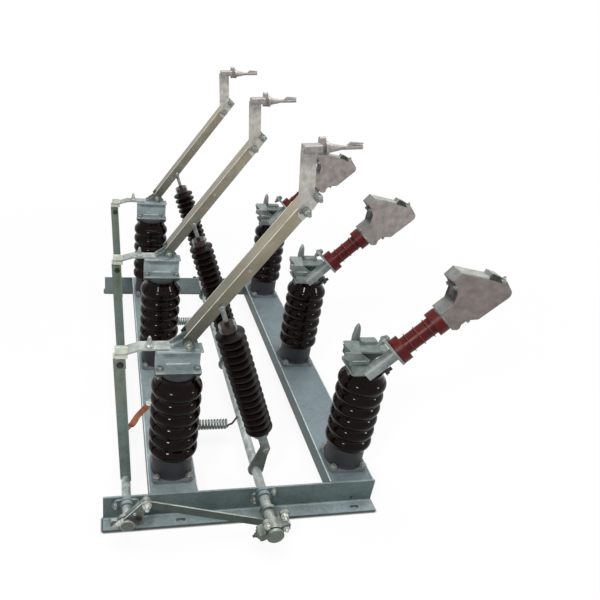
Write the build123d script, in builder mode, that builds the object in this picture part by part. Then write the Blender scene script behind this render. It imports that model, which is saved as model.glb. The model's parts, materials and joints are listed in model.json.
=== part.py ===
"""Three-phase outdoor disconnect switch with inclined interrupters and an earthing switch.

Origin: centre of the bounding box on the ground. X runs from the hinge side to the
interrupter side, Y from the front phase to the rear phase, Z up. Millimetres.
"""
from build123d import *
import math
import os

os.makedirs("parts", exist_ok=True)

# ---------------------------------------------------------------- driving dimensions
frame_left = -645.9          # left end of the cross beams
frame_front = -780.0         # outer face of the front cross beam
frame_width = 1000.0
frame_depth = 1703.0         # between the outer faces of the cross beams
beam_height = 105.0
beam_leg = 59.0
beam_wall = 7.0
slot_length = 34.0
slot_width = 14.0
slot_left_inset = 269.0      # slot centres from the beam's left end
slot_right_inset = 75.0     # from its right end
slot_setback = 29.0          # slot centres outside the beam's upright leg

channel_width = 170.0
channel_height = 66.0
channel_wall = 6.0
left_channel_inset = 158.5
post_spacing = 667.0
first_phase = 121.0          # front phase behind the front beam's face
phase_pitch = 701.0

flange_side = 148.0
flange_thickness = 14.0
flange_corner = 22.0
bolt_square = 117.0
bolt_hole = 7.0
cup_radius = 72.0
cup_height = 96.0
cup_wall = 8.0
shed_count = 6
shed_radius = 87.0
shed_root = 77.0
shed_pitch = 51.5
first_shed = 118.0           # height of the lowest shed's rim above the post's foot
neck_radius = 66.0
post_height = 448.0
cap_height = 14.0
cap_radius = 60.0
cap_bolt_pitch = 124.0       # bolts through the lugs of the post caps
cap_bolt_setback = 14.0

bracket_length = 151.0
bracket_height = 87.0
bracket_depth = 57.0
bracket_wall = 6.0
hinge_offset = 22.0          # pivot axis right of the left posts' axis
hinge_rise = 29.0            # pivot axis above the bracket's top
pin_radius = 6.0
running_clearance = 0.05
side_clearance = 2.0

blade_width = 60.0
blade_height = 38.0
blade_wall = 5.0
blade_below = 16.0           # lower edge below the pivot axis
blade_reach = 616.0
blade_angle = 55.3           # open position above the horizontal
web_setback = 24.0
rod_pin_out = 162.0          # blade pin of the operating rod
rod_pin_up = -7.0
tip_bolt_near = 554.0
tip_bolt_far = 606.0

arm_lean = 41.0              # arm relative to the blade
arm_plate = 8.0
finger_out = 719.0           # collar of the finger, along and above the blade
finger_up = 69.0
finger_tilt = 5.0
finger_reach = 113.0

shaft_x = 566.0              # main shaft from the frame's left end
shaft_z = 80.0
shaft_radius = 18.0
shaft_bore = 13.5
shaft_front = -195.0         # front end relative to the front beam's face
shaft_overhang = 26.0
lever_radius = 110.4
lever_angle = 78.0
lever_thickness = 10.0
lever_eye = 16.0
hub_radius = 30.0

earth_x = 80.0
earth_z = 80.0
earth_radius = 16.0
earth_bore = 12.0
earth_front = -106.0
earth_blade_width = 38.0
earth_blade_wall = 5.0
earth_blade_leg = 16.0
earth_blade_length = 528.0
earth_blade_lean = 3.2
crank_radius = 105.4
crank_angle = 54.6
link_width = 30.0
link_thickness = 6.0
link_plane = -98.0           # front face of the interlock link
interlock_radius = 64.0
interlock_angle = -62.0

rod_shed_radius = 50.0
rod_core_radius = 27.0
rod_shed_count = 16
rod_insulator_start = 104.0  # from the blade pin
rod_insulator_length = 452.0
fork_gap = 0.6
fork_wall = 6.0

breaker_setback = -90.0      # interrupter axis in front of its phase plane
breaker_tilt = 46.0
breaker_offset = 49.5        # flange face right of the right posts' axis
breaker_z = 661.0
breaker_collar = 46.0
breaker_collar_length = 33.0
breaker_body = 30.5
breaker_ring = 35.5
breaker_first_ring = 54.0
breaker_ring_pitch = 38.0
breaker_top_collar = 43.5
breaker_length = 180.0
barrel_radius = 23.0
barrel_length = 127.0
flange_plate = 9.0
flange_margin = 1.5          # flange plate beyond the interrupter's collar
flange_lug_out = 74.0        # lug bolt above the interrupter axis
flange_lug = 16.0
jaw_half = 42.0              # half width of the contact housing
jaw_rear = 28.0
jaw_wall = 6.0
head_thickness = 60.0
head_slot = 26.0
head_edge = 3.0

spring_radius = 22.0
spring_wire = 7.0
spring_setback = 392.0       # front spring behind the front beam's face
spring_pitch = 843.0
spring_hook = 30.0
spring_clear = 44.0          # coil's end to the main shaft's surface

# ---------------------------------------------------------------- derived places
frame_right = frame_left + frame_width
frame_rear = frame_front + frame_depth
left_x = frame_left + left_channel_inset + channel_width / 2
right_x = left_x + post_spacing
phases = {
    "front": frame_front + first_phase,
    "mid": frame_front + first_phase + phase_pitch,
    "rear": frame_front + first_phase + 2 * phase_pitch,
}
y_front = phases["front"]
post_foot = beam_height
post_top = post_foot + post_height
bracket_top = post_top + bracket_height
hinge_x = left_x + hinge_offset
hinge_z = bracket_top + hinge_rise
main_x = frame_left + shaft_x
ground_x = frame_left + earth_x


def polar(x, z, radius, degrees):
    """Point at a distance and angle from (x, z) in the XZ plane."""
    turn = math.radians(degrees)
    return (x + radius * math.cos(turn), z + radius * math.sin(turn))


def upright(y):
    """XZ plane at y whose sketch axes are the world's X and Z."""
    return Plane(origin=(0, y, 0), x_dir=(1, 0, 0), z_dir=(0, -1, 0))


def write(solid, node, at=(0, 0, 0)):
    """Label one piece and write it at its place."""
    piece = solid.moved(Location(at))
    piece.label = node
    export_step(piece, f"parts/{node}.step")


# ---------------------------------------------------------------- cross beams
# Bent angle: upright leg inside, foot leg outwards on the ground with two slots.
# Both shafts run through bearing bosses on the upright leg.
with BuildPart() as front_beam:
    with BuildSketch(Plane.YZ.offset(frame_left)) as beam_section:
        with BuildLine():
            Polyline(
                (frame_front - beam_leg + beam_wall, 0),
                (frame_front + beam_wall, 0),
                (frame_front + beam_wall, beam_height),
                (frame_front, beam_height),
                (frame_front, beam_wall),
                (frame_front - beam_leg + beam_wall, beam_wall),
                close=True,
            )
        make_face()
        fillet(
            beam_section.vertices().sort_by_distance((frame_front, beam_wall, 0))[0],
            radius=beam_wall,
        )
    extrude(amount=frame_width)
    with BuildSketch(Plane.XY) as slots:
        with Locations(
            (frame_left + slot_left_inset, frame_front - slot_setback),
            (frame_right - slot_right_inset, frame_front - slot_setback),
        ):
            SlotOverall(slot_length, slot_width)
    extrude(amount=beam_wall, mode=Mode.SUBTRACT)
    with BuildSketch(upright(frame_front)) as bosses:
        with Locations((main_x, shaft_z)):
            Circle(hub_radius)
            SlotOverall(3.2 * hub_radius, 1.3 * hub_radius, rotation=28)
        with Locations((ground_x, earth_z)):
            Circle(hub_radius - 4)
            SlotOverall(3.0 * hub_radius, 1.2 * hub_radius, rotation=0)
    extrude(amount=9)
    with BuildSketch(upright(frame_front - 9)) as hubs:
        with Locations((main_x, shaft_z)):
            Circle(shaft_radius + 8)
        with Locations((ground_x, earth_z)):
            Circle(earth_radius + 7)
    extrude(amount=16)
    with BuildSketch(upright(frame_front + beam_wall)) as bores:
        with Locations((main_x, shaft_z)):
            Circle(shaft_radius + running_clearance)
        with Locations((ground_x, earth_z)):
            Circle(earth_radius + running_clearance)
    extrude(amount=beam_wall + 40, mode=Mode.SUBTRACT)
write(front_beam.part, "front_beam")

# The rear beam is the front one turned about the frame's middle.
with BuildPart() as rear_beam:
    add(front_beam.part)
    mirror(about=Plane.XZ.offset(-(frame_front + frame_rear) / 2), mode=Mode.REPLACE)
write(rear_beam.part, "rear_beam")

# ---------------------------------------------------------------- long channels
# Channel with its web up, butted between the beams; each post bolts to the web.
for side, x in (("left", left_x), ("right", right_x)):
    with BuildPart() as channel:
        with BuildSketch(Plane.XZ.offset(-(frame_front + beam_wall))) as channel_section:
            with BuildLine():
                Polyline(
                    (x - channel_width / 2, beam_height - channel_height),
                    (x - channel_width / 2, beam_height),
                    (x + channel_width / 2, beam_height),
                    (x + channel_width / 2, beam_height - channel_height),
                    (x + channel_width / 2 - channel_wall, beam_height - channel_height),
                    (x + channel_width / 2 - channel_wall, beam_height - channel_wall),
                    (x - channel_width / 2 + channel_wall, beam_height - channel_wall),
                    (x - channel_width / 2 + channel_wall, beam_height - channel_height),
                    close=True,
                )
            make_face()
            fillet(channel_section.vertices().group_by(Axis.Y)[-1], radius=channel_wall)
        extrude(amount=-(frame_depth - 2 * beam_wall))
        for y in phases.values():
            with Locations((x, y, beam_height)):
                with GridLocations(bolt_square, bolt_square, 2, 2):
                    Hole(radius=bolt_hole, depth=2 * channel_wall)
    write(channel.part, f"{side}_channel")

# ---------------------------------------------------------------- station posts
# Foot: square flange and cup. Porcelain: one turned body with rounded sheds.
with BuildPart() as post_base:
    with BuildSketch(Plane.XY):
        RectangleRounded(flange_side, flange_side, flange_corner)
    extrude(amount=flange_thickness)
    with BuildSketch(Plane.XZ):
        with BuildLine():
            Polyline(
                (0, flange_thickness),
                (cup_radius + 3, flange_thickness),
                (cup_radius, flange_thickness + 10),
                (cup_radius, cup_height - 4),
                (cup_radius - 3, cup_height),
                (0, cup_height),
                close=True,
            )
        make_face()
    revolve(axis=Axis.Z)
    with BuildSketch(Plane.XY.offset(cup_height)):
        Circle(cup_radius - cup_wall)
    extrude(amount=-(cup_height - flange_thickness), mode=Mode.SUBTRACT)
    with Locations((0, 0, flange_thickness)):
        with GridLocations(bolt_square, bolt_square, 2, 2):
            Hole(radius=bolt_hole, depth=flange_thickness)

shed_top = first_shed + (shed_count - 1) * shed_pitch
with BuildPart() as porcelain:
    with BuildSketch(Plane.XZ):
        with BuildLine():
            foot = Polyline(
                (0, flange_thickness),
                (cup_radius - cup_wall, flange_thickness),
                (cup_radius - cup_wall, cup_height),
                (cup_radius - 2, cup_height),
            )
            start = foot @ 1
            for shed in range(shed_count):
                rim = first_shed + shed * shed_pitch
                under = Line(start, (shed_root, rim - 0.34 * shed_pitch))
                ThreePointArc(under @ 1, (shed_radius, rim), (shed_root, rim + 0.5 * shed_pitch))
                start = (shed_root, rim + 0.5 * shed_pitch)
            Polyline(
                start,
                (neck_radius, post_height - cap_height - 14),
                (neck_radius, post_height - cap_height),
                (0, post_height - cap_height),
                (0, flange_thickness),
            )
        make_face()
    revolve(axis=Axis.Z)

for phase, y in phases.items():
    for side, x in (("left", left_x), ("right", right_x)):
        write(post_base.part, f"post_foot_{side}_{phase}", (x, y, post_foot))
        write(porcelain.part, f"porcelain_{side}_{phase}", (x, y, post_foot))

# ---------------------------------------------------------------- hinge brackets
# Post cap, channel bracket open to the front, base plate and two pivot cheeks.
cheek_gap = blade_width - 2 * blade_wall - 2 * side_clearance
cheek_wall = 8.0
cheek_radius = 15.0
plate_left = left_x - bracket_length / 2 + 42
plate_right = left_x + bracket_length / 2 - 14
with BuildPart() as hinge_bracket:
    with BuildSketch(Plane.XY.offset(post_top - cap_height)):
        with Locations((left_x, y_front)):
            Circle(cap_radius)
        with Locations((left_x, y_front - cap_bolt_setback)):
            SlotOverall(cap_bolt_pitch + 32, 32)
    extrude(amount=cap_height)
    with BuildSketch(Plane.YZ.offset(left_x - bracket_length / 2)) as bracket_section:
        back = y_front + 22
        with BuildLine():
            Polyline(
                (back - bracket_depth, post_top),
                (back, post_top),
                (back, bracket_top),
                (back - bracket_depth, bracket_top),
                (back - bracket_depth, bracket_top - bracket_wall),
                (back - bracket_wall, bracket_top - bracket_wall),
                (back - bracket_wall, post_top + bracket_wall),
                (back - bracket_depth, post_top + bracket_wall),
                close=True,
            )
        make_face()
        fillet(
            bracket_section.vertices().group_by(Axis.X)[-1],
            radius=bracket_wall,
        )
    extrude(amount=bracket_length)
    with BuildSketch(Plane.XY.offset(bracket_top)):
        with Locations(((plate_left + plate_right) / 2, y_front)):
            Rectangle(plate_right - plate_left, cheek_gap + 8)
    extrude(amount=bracket_wall)
    for inner in (-1, 1):
        with BuildSketch(upright(y_front + inner * cheek_gap / 2 + (cheek_wall if inner < 0 else 0))):
            with BuildLine():
                Polyline(
                    (plate_left, bracket_top + bracket_wall),
                    (hinge_x - 10, hinge_z + cheek_radius - 4),
                    (hinge_x + cheek_radius, hinge_z),
                    (plate_right, bracket_top + bracket_wall),
                    close=True,
                )
            make_face()
            with Locations((hinge_x, hinge_z)):
                Circle(cheek_radius)
        extrude(amount=cheek_wall)
    with BuildSketch(upright(y_front - blade_width)):
        with Locations((hinge_x, hinge_z)):
            Circle(pin_radius + running_clearance)
    extrude(amount=-2 * blade_width, mode=Mode.SUBTRACT)

# ---------------------------------------------------------------- terminals
# Flat bar lying on the bracket, joggled down to its end over the earthing blade,
# with a pointed arcing tip.
terminal_width = 50.0
terminal_thickness = 6.0
terminal_left = frame_left + 38.0
terminal_drop = 16.0
tip_x = frame_left + 146.0
with BuildPart() as terminal:
    with BuildSketch(upright(y_front - 2 + terminal_width / 2)):
        with BuildLine():
            Polyline(
                (terminal_left, bracket_top - terminal_drop),
                (terminal_left + 33, bracket_top - terminal_drop),
                (terminal_left + 80, bracket_top),
                (plate_left, bracket_top),
                (plate_left, bracket_top + terminal_thickness),
                (terminal_left + 78, bracket_top + terminal_thickness),
                (terminal_left + 31, bracket_top - terminal_drop + terminal_thickness),
                (terminal_left, bracket_top - terminal_drop + terminal_thickness),
                close=True,
            )
        make_face()
    extrude(amount=terminal_width)
    with BuildSketch(Plane(origin=(tip_x, y_front - 8, bracket_top + terminal_thickness), z_dir=(0, -1, 0), x_dir=(1, 0, 0))):
        with BuildLine():
            Polyline((0, -1), (15, -1), (15, 5), (10, 11), (5, 34), (2, 38), (0, 38), close=True)
        make_face()
    revolve(axis=Axis((tip_x, y_front - 8, 0), (0, 0, 1)))

for phase, y in phases.items():
    shift = (0, y - y_front, 0)
    write(hinge_bracket.part, f"hinge_bracket_{phase}", shift)
    write(terminal.part, f"terminal_{phase}", shift)

# ---------------------------------------------------------------- jaw castings
# One casting on the post cap: roofed contact housing open to the hinge side, ribbed
# web with a lightening hole, arcing horn behind the blade's path, and the inclined
# barrel with the flange plate that carries the interrupter.
axis_dir = (math.cos(math.radians(breaker_tilt)), 0, math.sin(math.radians(breaker_tilt)))
breaker_y = y_front + breaker_setback
face_x = right_x + breaker_offset
face_z = breaker_z
breaker_plane = Plane(origin=(face_x, breaker_y, face_z), x_dir=(0, 1, 0), z_dir=axis_dir)
jaw_left = right_x - 108.5
jaw_right = right_x - 18.5
hood_right = jaw_right - 30.0
jaw_eaves = hinge_z - blade_below - 27.0
jaw_ridge = hinge_z - blade_below - 4.0
jaw_floor = hinge_z - 76.0
web_right = face_x + 12.0
horn_x = jaw_right - 14.0
horn_y = y_front + 58.0
horn_radius = 13.0
with BuildPart() as jaw:
    with BuildSketch(Plane.XY.offset(post_top - cap_height)):
        with Locations((right_x, y_front)):
            Circle(cap_radius)
        with Locations((right_x, y_front - cap_bolt_setback)):
            SlotOverall(cap_bolt_pitch + 32, 32)
    extrude(amount=cap_height)
    with BuildSketch(Plane.XY.offset(post_top)):
        with Locations((jaw_right - 22, y_front - 14)):
            RectangleRounded(78, 116, 10)
    extrude(amount=8)
    with BuildSketch(Plane.XY.offset(post_top + 8)):
        with Locations((jaw_right - 20, y_front)):
            RectangleRounded(62, 74, 8)
    extrude(amount=jaw_floor - post_top - 6, taper=-5)
    with BuildSketch(Plane.YZ.offset(jaw_left)) as housing_section:
        with BuildLine():
            Polyline(
                (y_front - jaw_half, jaw_floor),
                (y_front - jaw_half, jaw_eaves),
                (y_front - 4, jaw_ridge),
                (y_front + 4, jaw_ridge),
                (y_front + jaw_rear, jaw_ridge - 14),
                (y_front + jaw_rear, jaw_floor),
                close=True,
            )
        make_face()
        fillet(housing_section.vertices().group_by(Axis.Y)[0], radius=6)
    extrude(amount=hood_right - jaw_left)
    with BuildSketch(Plane.YZ.offset(jaw_left)):
        with BuildLine():
            Polyline(
                (y_front - jaw_half + jaw_wall, jaw_floor + jaw_wall),
                (y_front - jaw_half + jaw_wall, jaw_eaves - 2),
                (y_front - 3, jaw_ridge - jaw_wall),
                (y_front + 3, jaw_ridge - jaw_wall),
                (y_front + jaw_rear - jaw_wall, jaw_ridge - 18),
                (y_front + jaw_rear - jaw_wall, jaw_floor + jaw_wall),
                close=True,
            )
        make_face()
    extrude(amount=34, mode=Mode.SUBTRACT)
    # sloping front of the mouth
    with BuildSketch(upright(y_front + jaw_half + 1)):
        with BuildLine():
            Polyline(
                (jaw_left - 1, jaw_ridge + 1),
                (jaw_left + 9, jaw_ridge + 1),
                (jaw_left - 1, jaw_eaves - 10),
                close=True,
            )
        make_face()
        with BuildLine():
            Polyline(
                (jaw_left - 1, jaw_floor - 1),
                (jaw_left + 28, jaw_floor - 1),
                (jaw_left - 1, jaw_eaves - 18),
                close=True,
            )
        make_face()
    extrude(amount=2 * jaw_half + 2, mode=Mode.SUBTRACT)
    with BuildSketch(Plane.XY.offset(jaw_floor - 1)):
        with BuildLine():
            Polyline(
                (jaw_left - 1, y_front + 8),
                (jaw_left + 9, y_front + 8),
                (jaw_left + 25, y_front + jaw_rear + 1),
                (jaw_left - 1, y_front + jaw_rear + 1),
                close=True,
            )
        make_face()
    extrude(amount=jaw_ridge - jaw_floor + 2, mode=Mode.SUBTRACT)
    # apron from the hood's eaves down to the barrel, and the shoulder under it
    with BuildSketch(upright(y_front - jaw_half + jaw_wall)):
        with BuildLine():
            Polyline(
                (jaw_left + 14, jaw_eaves - 2),
                (hood_right, jaw_eaves - 2),
                (jaw_right + 8, jaw_floor + 4),
                (jaw_right - 4, jaw_floor - 12),
                (jaw_left + 30, jaw_floor - 16),
                (jaw_left + 20, jaw_floor + 4),
                close=True,
            )
        make_face()
    extrude(amount=jaw_wall)
    with BuildSketch(upright(y_front - 20)):
        with BuildLine():
            Polyline(
                (jaw_left + 34, jaw_floor + 2),
                (jaw_right - 2, jaw_floor + 2),
                (jaw_right - 10, post_top + 7),
                (jaw_left + 50, post_top + 7),
                close=True,
            )
        make_face()
    extrude(amount=jaw_half - 26)
    # web, its lightening hole and the rib on its top edge
    with BuildSketch(upright(y_front + 4)):
        with BuildLine():
            Polyline(
                (hood_right - 8, jaw_eaves),
                (web_right, jaw_eaves),
                (web_right, jaw_eaves - 12),
                (jaw_right + 20, jaw_floor - 32),
                (hood_right - 8, jaw_floor - 34),
                close=True,
            )
        make_face()
        with Locations((jaw_right + 24, jaw_eaves - 28)):
            SlotOverall(36, 15, rotation=45, mode=Mode.SUBTRACT)
    extrude(amount=8)
    with BuildSketch(upright(y_front + 30)):
        with BuildLine():
            Polyline(
                (hood_right - 8, jaw_eaves),
                (web_right, jaw_eaves),
                (web_right, jaw_eaves - 7),
                (hood_right - 8, jaw_eaves - 7),
                close=True,
            )
        make_face()
    extrude(amount=62)
    # rear box carrying the horn
    with BuildSketch(Plane.XY.offset(jaw_floor)):
        with Locations((jaw_right + 22, y_front + 30)):
            RectangleRounded(60, 32, 6)
    extrude(amount=jaw_eaves + 10 - jaw_floor)
    with BuildSketch(Plane.XY.offset(jaw_eaves - 34)):
        with Locations((horn_x + 4, horn_y - 10)):
            RectangleRounded(36, 40, 8)
    extrude(amount=28)
    with BuildSketch(Plane(origin=(horn_x, horn_y, 0), x_dir=(1, 0, 0), z_dir=(0, -1, 0))):
        with BuildLine():
            Spline(
                (0, jaw_eaves - 10),
                (horn_radius - 3, jaw_eaves - 8),
                (horn_radius, jaw_eaves + 22),
                (horn_radius - 5, jaw_eaves + 50),
                (0, jaw_eaves + 62),
            )
            Line((0, jaw_eaves + 62), (0, jaw_eaves - 10))
        make_face()
    revolve(axis=Axis((horn_x, horn_y, 0), (0, 0, 1)))
    # barrel and flange plate
    with BuildSketch(breaker_plane):
        Circle(barrel_radius)
    extrude(amount=-barrel_length)
    with BuildSketch(breaker_plane.offset(-flange_plate)):
        Circle(breaker_collar + flange_margin)
        with Locations((0, flange_lug_out)):
            Circle(flange_lug)
        make_hull()
        with Locations((0, flange_lug_out)):
            Circle(bolt_hole, mode=Mode.SUBTRACT)
    extrude(amount=flange_plate)
    with BuildSketch(Plane.XY.offset(post_top + 8)):
        with Locations((jaw_right - 26, y_front - 56)):
            RectangleRounded(60, 44, 8)
    extrude(amount=16)

# ---------------------------------------------------------------- interrupters
# Turned polymer body: two end collars and three thin rings about the inclined axis.
interrupter_side = Plane(
    origin=breaker_plane.origin,
    x_dir=(0, 1, 0),
    z_dir=Vector(0, 1, 0).cross(Vector(*axis_dir)),
)
with BuildPart() as interrupter:
    with BuildSketch(interrupter_side):
        with Locations((breaker_collar / 2, breaker_collar_length / 2)):
            Rectangle(breaker_collar, breaker_collar_length)
        with Locations((breaker_body / 2, breaker_length / 2)):
            Rectangle(breaker_body, breaker_length)
        for ring in range(3):
            with Locations((breaker_ring / 2, breaker_first_ring + ring * breaker_ring_pitch)):
                Rectangle(breaker_ring, 3)
        with Locations((breaker_top_collar / 2, breaker_length - 17)):
            Rectangle(breaker_top_collar, 34)
    revolve(axis=Axis(breaker_plane.origin, axis_dir))
    fillet(interrupter.edges().filter_by(GeomType.CIRCLE).group_by(SortBy.RADIUS)[-1], radius=2.5)

# ---------------------------------------------------------------- mechanism heads
# Flat cast housing of the interrupter drive: neck ring, mouth towards the blade with
# a slot for the driving lever, and a catch lug on the top edge.
neck_x = face_x + breaker_length * axis_dir[0]
neck_z = face_z + breaker_length * axis_dir[2]
with BuildPart() as head:
    with BuildSketch(upright(breaker_y + head_thickness / 2)) as head_outline:
        with BuildLine():
            Polyline(
                (neck_x - 28, neck_z + 34),
                (neck_x + 6, neck_z + 68),
                (neck_x + 9, neck_z + 106),
                (neck_x - 2, neck_z + 132),
                (neck_x - 20, neck_z + 150),
                (neck_x + 4, neck_z + 180),
                (neck_x + 116, neck_z + 160),
                (neck_x + 174, neck_z + 152),
                (neck_x + 215, neck_z + 104),
                (neck_x + 119, neck_z + 12),
                (neck_x + 80, neck_z + 9),
                (neck_x + 62, neck_z - 8),
                (neck_x + 60, neck_z - 28),
                (neck_x + 35, neck_z - 28),
                close=True,
            )
        make_face()
        fillet(head_outline.vertices().group_by(Axis.X)[-1], radius=22)
        fillet(head_outline.vertices().sort_by(Axis.Y)[:2], radius=11)
    extrude(amount=head_thickness)
    head_faces = head.faces().filter_by(Axis.Y).sort_by(Axis.Y)
    chamfer(head_faces[0].edges() + head_faces[-1].edges(), length=head_edge)
    # mouth slot for the driving lever
    with BuildSketch(upright(breaker_y + head_slot / 2)):
        with Locations((neck_x + 2, neck_z + 112)):
            Rectangle(76, 62, rotation=8)
    extrude(amount=head_slot, mode=Mode.SUBTRACT)
    with BuildSketch(upright(breaker_y + head_thickness / 2 - 6)):
        with BuildLine():
            Polyline(
                (neck_x + 112, neck_z + 150),
                (neck_x + 124, neck_z + 172),
                (neck_x + 160, neck_z + 160),
                (neck_x + 176, neck_z + 140),
                close=True,
            )
        make_face()
    extrude(amount=head_thickness - 24)
    with BuildSketch(breaker_plane.offset(breaker_length)):
        Circle(breaker_top_collar - 2)
    extrude(amount=9)

for phase, y in phases.items():
    shift = (0, y - y_front, 0)
    write(jaw.part, f"jaw_{phase}", shift)
    write(interrupter.part, f"interrupter_{phase}", shift)
    write(head.part, f"head_{phase}", shift)

# ---------------------------------------------------------------- main blades
# Drawn lying closed along +X from the pivot, then turned up to the open position.
blade_up = blade_height - blade_below
with BuildPart() as blade_closed:
    with BuildSketch(upright(blade_width / 2)):
        with Locations((0, 0)):
            Circle(blade_below)
        with Locations((blade_reach / 2, (blade_up - blade_below) / 2)):
            Rectangle(blade_reach, blade_height)
    extrude(amount=blade_width)
    with BuildSketch(Plane.XY.offset(-blade_below)):
        with Locations((blade_reach / 2 - 20, 0)):
            Rectangle(blade_reach + 60, blade_width - 2 * blade_wall)
    extrude(amount=blade_height - blade_wall, mode=Mode.SUBTRACT)
    with BuildSketch(Plane.XY.offset(-blade_below)):
        with Locations((web_setback / 2 - 20, 0)):
            Rectangle(web_setback + 40, blade_width - 2 * blade_wall)
    extrude(amount=blade_height, mode=Mode.SUBTRACT)
    with BuildSketch(upright(blade_width / 2)):
        Circle(pin_radius)
    extrude(amount=blade_width)
    with BuildSketch(upright(blade_width / 2)):
        with Locations((rod_pin_out, rod_pin_up)):
            Circle(pin_radius)
    extrude(amount=blade_width)

# ---------------------------------------------------------------- blade arms
# Flat arm bolted on the blade's near side, clamp block and lug at its head, collar and
# tapering finger with a short spring prong above it.
arm_face = -blade_width / 2 - arm_plate
arm_dir = (math.cos(math.radians(arm_lean)), math.sin(math.radians(arm_lean)))
finger_angle = finger_tilt - blade_angle
finger_plane = Plane(
    origin=(finger_out, 0, finger_up),
    x_dir=(0, 1, 0),
    z_dir=(math.cos(math.radians(finger_angle)), 0, math.sin(math.radians(finger_angle))),
)
block_length = 52.0
block_depth = 38.0
block_height = 22.0
lug_length = 18.0
with BuildPart() as arm_closed:
    with BuildSketch(upright(-blade_width / 2)) as arm_outline:
        with BuildLine():
            Polyline(
                (tip_bolt_near - 28, -blade_below + 2),
                (tip_bolt_near + 26, -blade_below + 2),
                (tip_bolt_far, -8),
                (tip_bolt_far + 7, 21),
                (tip_bolt_far + 7 + 116 * arm_dir[0], 21 + 116 * arm_dir[1]),
                (tip_bolt_near - 11 + 174 * arm_dir[0], 21 + 174 * arm_dir[1]),
                (tip_bolt_near - 11, 21),
                (tip_bolt_near - 27, 8),
                close=True,
            )
        make_face()
        fillet(arm_outline.vertices().group_by(Axis.Y)[0], radius=6)
    extrude(amount=arm_plate)
    with BuildSketch(finger_plane.offset(-lug_length - block_length)):
        with Locations((arm_face - 2 + block_depth / 2, 7)):
            RectangleRounded(block_depth, block_height, 5)
    extrude(amount=block_length)
    with BuildSketch(finger_plane.offset(-lug_length)):
        with Locations((0, 7)):
            RectangleRounded(18, 52, 8)
    extrude(amount=lug_length)
    with BuildSketch(finger_plane):
        Circle(20)
    extrude(amount=9)
    with BuildSketch(finger_plane.offset(9)):
        Circle(14.5)
    with BuildSketch(finger_plane.offset(46)):
        Circle(7.5)
    loft()
    with BuildSketch(finger_plane.offset(46)):
        Circle(6.5)
    extrude(amount=finger_reach - 46)
    with BuildSketch(Plane(origin=finger_plane.origin, x_dir=finger_plane.z_dir, z_dir=(0, -1, 0)).offset(-5)):
        with BuildLine():
            Polyline(
                (finger_reach - 52, 2),
                (finger_reach - 36, 15),
                (finger_reach, 12),
                (finger_reach, 9),
                (finger_reach - 30, 8),
                (finger_reach - 36, 2),
                close=True,
            )
        make_face()
    extrude(amount=10)

blade_turn = Location((hinge_x, 0, hinge_z), (0, -blade_angle, 0))
for phase, y in phases.items():
    at = Location((0, y, 0)) * blade_turn
    blade = blade_closed.part.moved(at)
    blade.label = f"blade_{phase}"
    export_step(blade, f"parts/blade_{phase}.step")
    arm = arm_closed.part.moved(at)
    arm.label = f"arm_{phase}"
    export_step(arm, f"parts/arm_{phase}.step")

# ---------------------------------------------------------------- operating rods
blade_pin = polar(hinge_x, hinge_z, math.hypot(rod_pin_out, rod_pin_up),
                  blade_angle + math.degrees(math.atan2(rod_pin_up, rod_pin_out)))
lever_pin = polar(main_x, shaft_z, lever_radius, lever_angle)
rod_length = math.dist(blade_pin, lever_pin)
rod_dir = ((lever_pin[0] - blade_pin[0]) / rod_length, 0, (lever_pin[1] - blade_pin[1]) / rod_length)
rod_plane = Plane(origin=(blade_pin[0], y_front, blade_pin[1]), x_dir=(0, 1, 0), z_dir=rod_dir)
rod_side = Plane(origin=rod_plane.origin, x_dir=(0, 1, 0), z_dir=Vector(0, 1, 0).cross(Vector(*rod_dir)))
rod_insulator_end = rod_insulator_start + rod_insulator_length
stub_radius = 8.0
with BuildPart() as rod:
    with BuildSketch(rod_plane):
        Circle(stub_radius)
    extrude(amount=rod_insulator_end + 20)
    with BuildSketch(rod_plane.offset(rod_insulator_start - 22)):
        Circle(rod_core_radius + 3)
    extrude(amount=22)
    with BuildSketch(rod_plane.offset(rod_insulator_end)):
        Circle(rod_core_radius + 3)
    extrude(amount=24)
    with BuildSketch(rod_plane.offset(rod_insulator_end + 24)):
        Rectangle(lever_thickness + 2 * fork_gap + 2 * fork_wall, 34)
    extrude(amount=rod_length - rod_insulator_end - 24)
    with BuildSketch(Plane(origin=(lever_pin[0], y_front + lever_thickness / 2 + fork_gap + fork_wall, lever_pin[1]),
                           x_dir=(1, 0, 0), z_dir=(0, -1, 0))):
        Circle(17)
    extrude(amount=lever_thickness + 2 * fork_gap + 2 * fork_wall)
    with BuildSketch(rod_plane.offset(rod_insulator_end + 34)):
        Rectangle(lever_thickness + 2 * fork_gap, 60)
    extrude(amount=rod_length, mode=Mode.SUBTRACT)
    # eye at the blade pin
    with BuildSketch(upright(y_front + 9)):
        with Locations(blade_pin):
            Circle(14)
    extrude(amount=18)
    with BuildSketch(upright(y_front + 30)):
        with Locations(blade_pin):
            Circle(pin_radius + running_clearance)
    extrude(amount=60, mode=Mode.SUBTRACT)

with BuildPart() as rod_insulator:
    with BuildSketch(rod_side):
        with BuildLine():
            pitch = rod_insulator_length / rod_shed_count
            start = (stub_radius, rod_insulator_start)
            outline = [start, (rod_core_radius, rod_insulator_start)]
            for shed in range(rod_shed_count):
                s = rod_insulator_start + shed * pitch
                outline += [
                    (rod_core_radius, s + 0.25 * pitch),
                    (rod_shed_radius, s + 0.62 * pitch),
                    (rod_shed_radius, s + 0.74 * pitch),
                    (rod_core_radius, s + 0.95 * pitch),
                ]
            outline += [(rod_core_radius, rod_insulator_end), (stub_radius, rod_insulator_end)]
            Polyline(*outline, close=True)
        make_face()
    revolve(axis=Axis(rod_plane.origin, rod_dir))

for phase, y in phases.items():
    shift = (0, y - y_front, 0)
    write(rod.part, f"rod_{phase}", shift)
    write(rod_insulator.part, f"rod_insulator_{phase}", shift)

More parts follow.
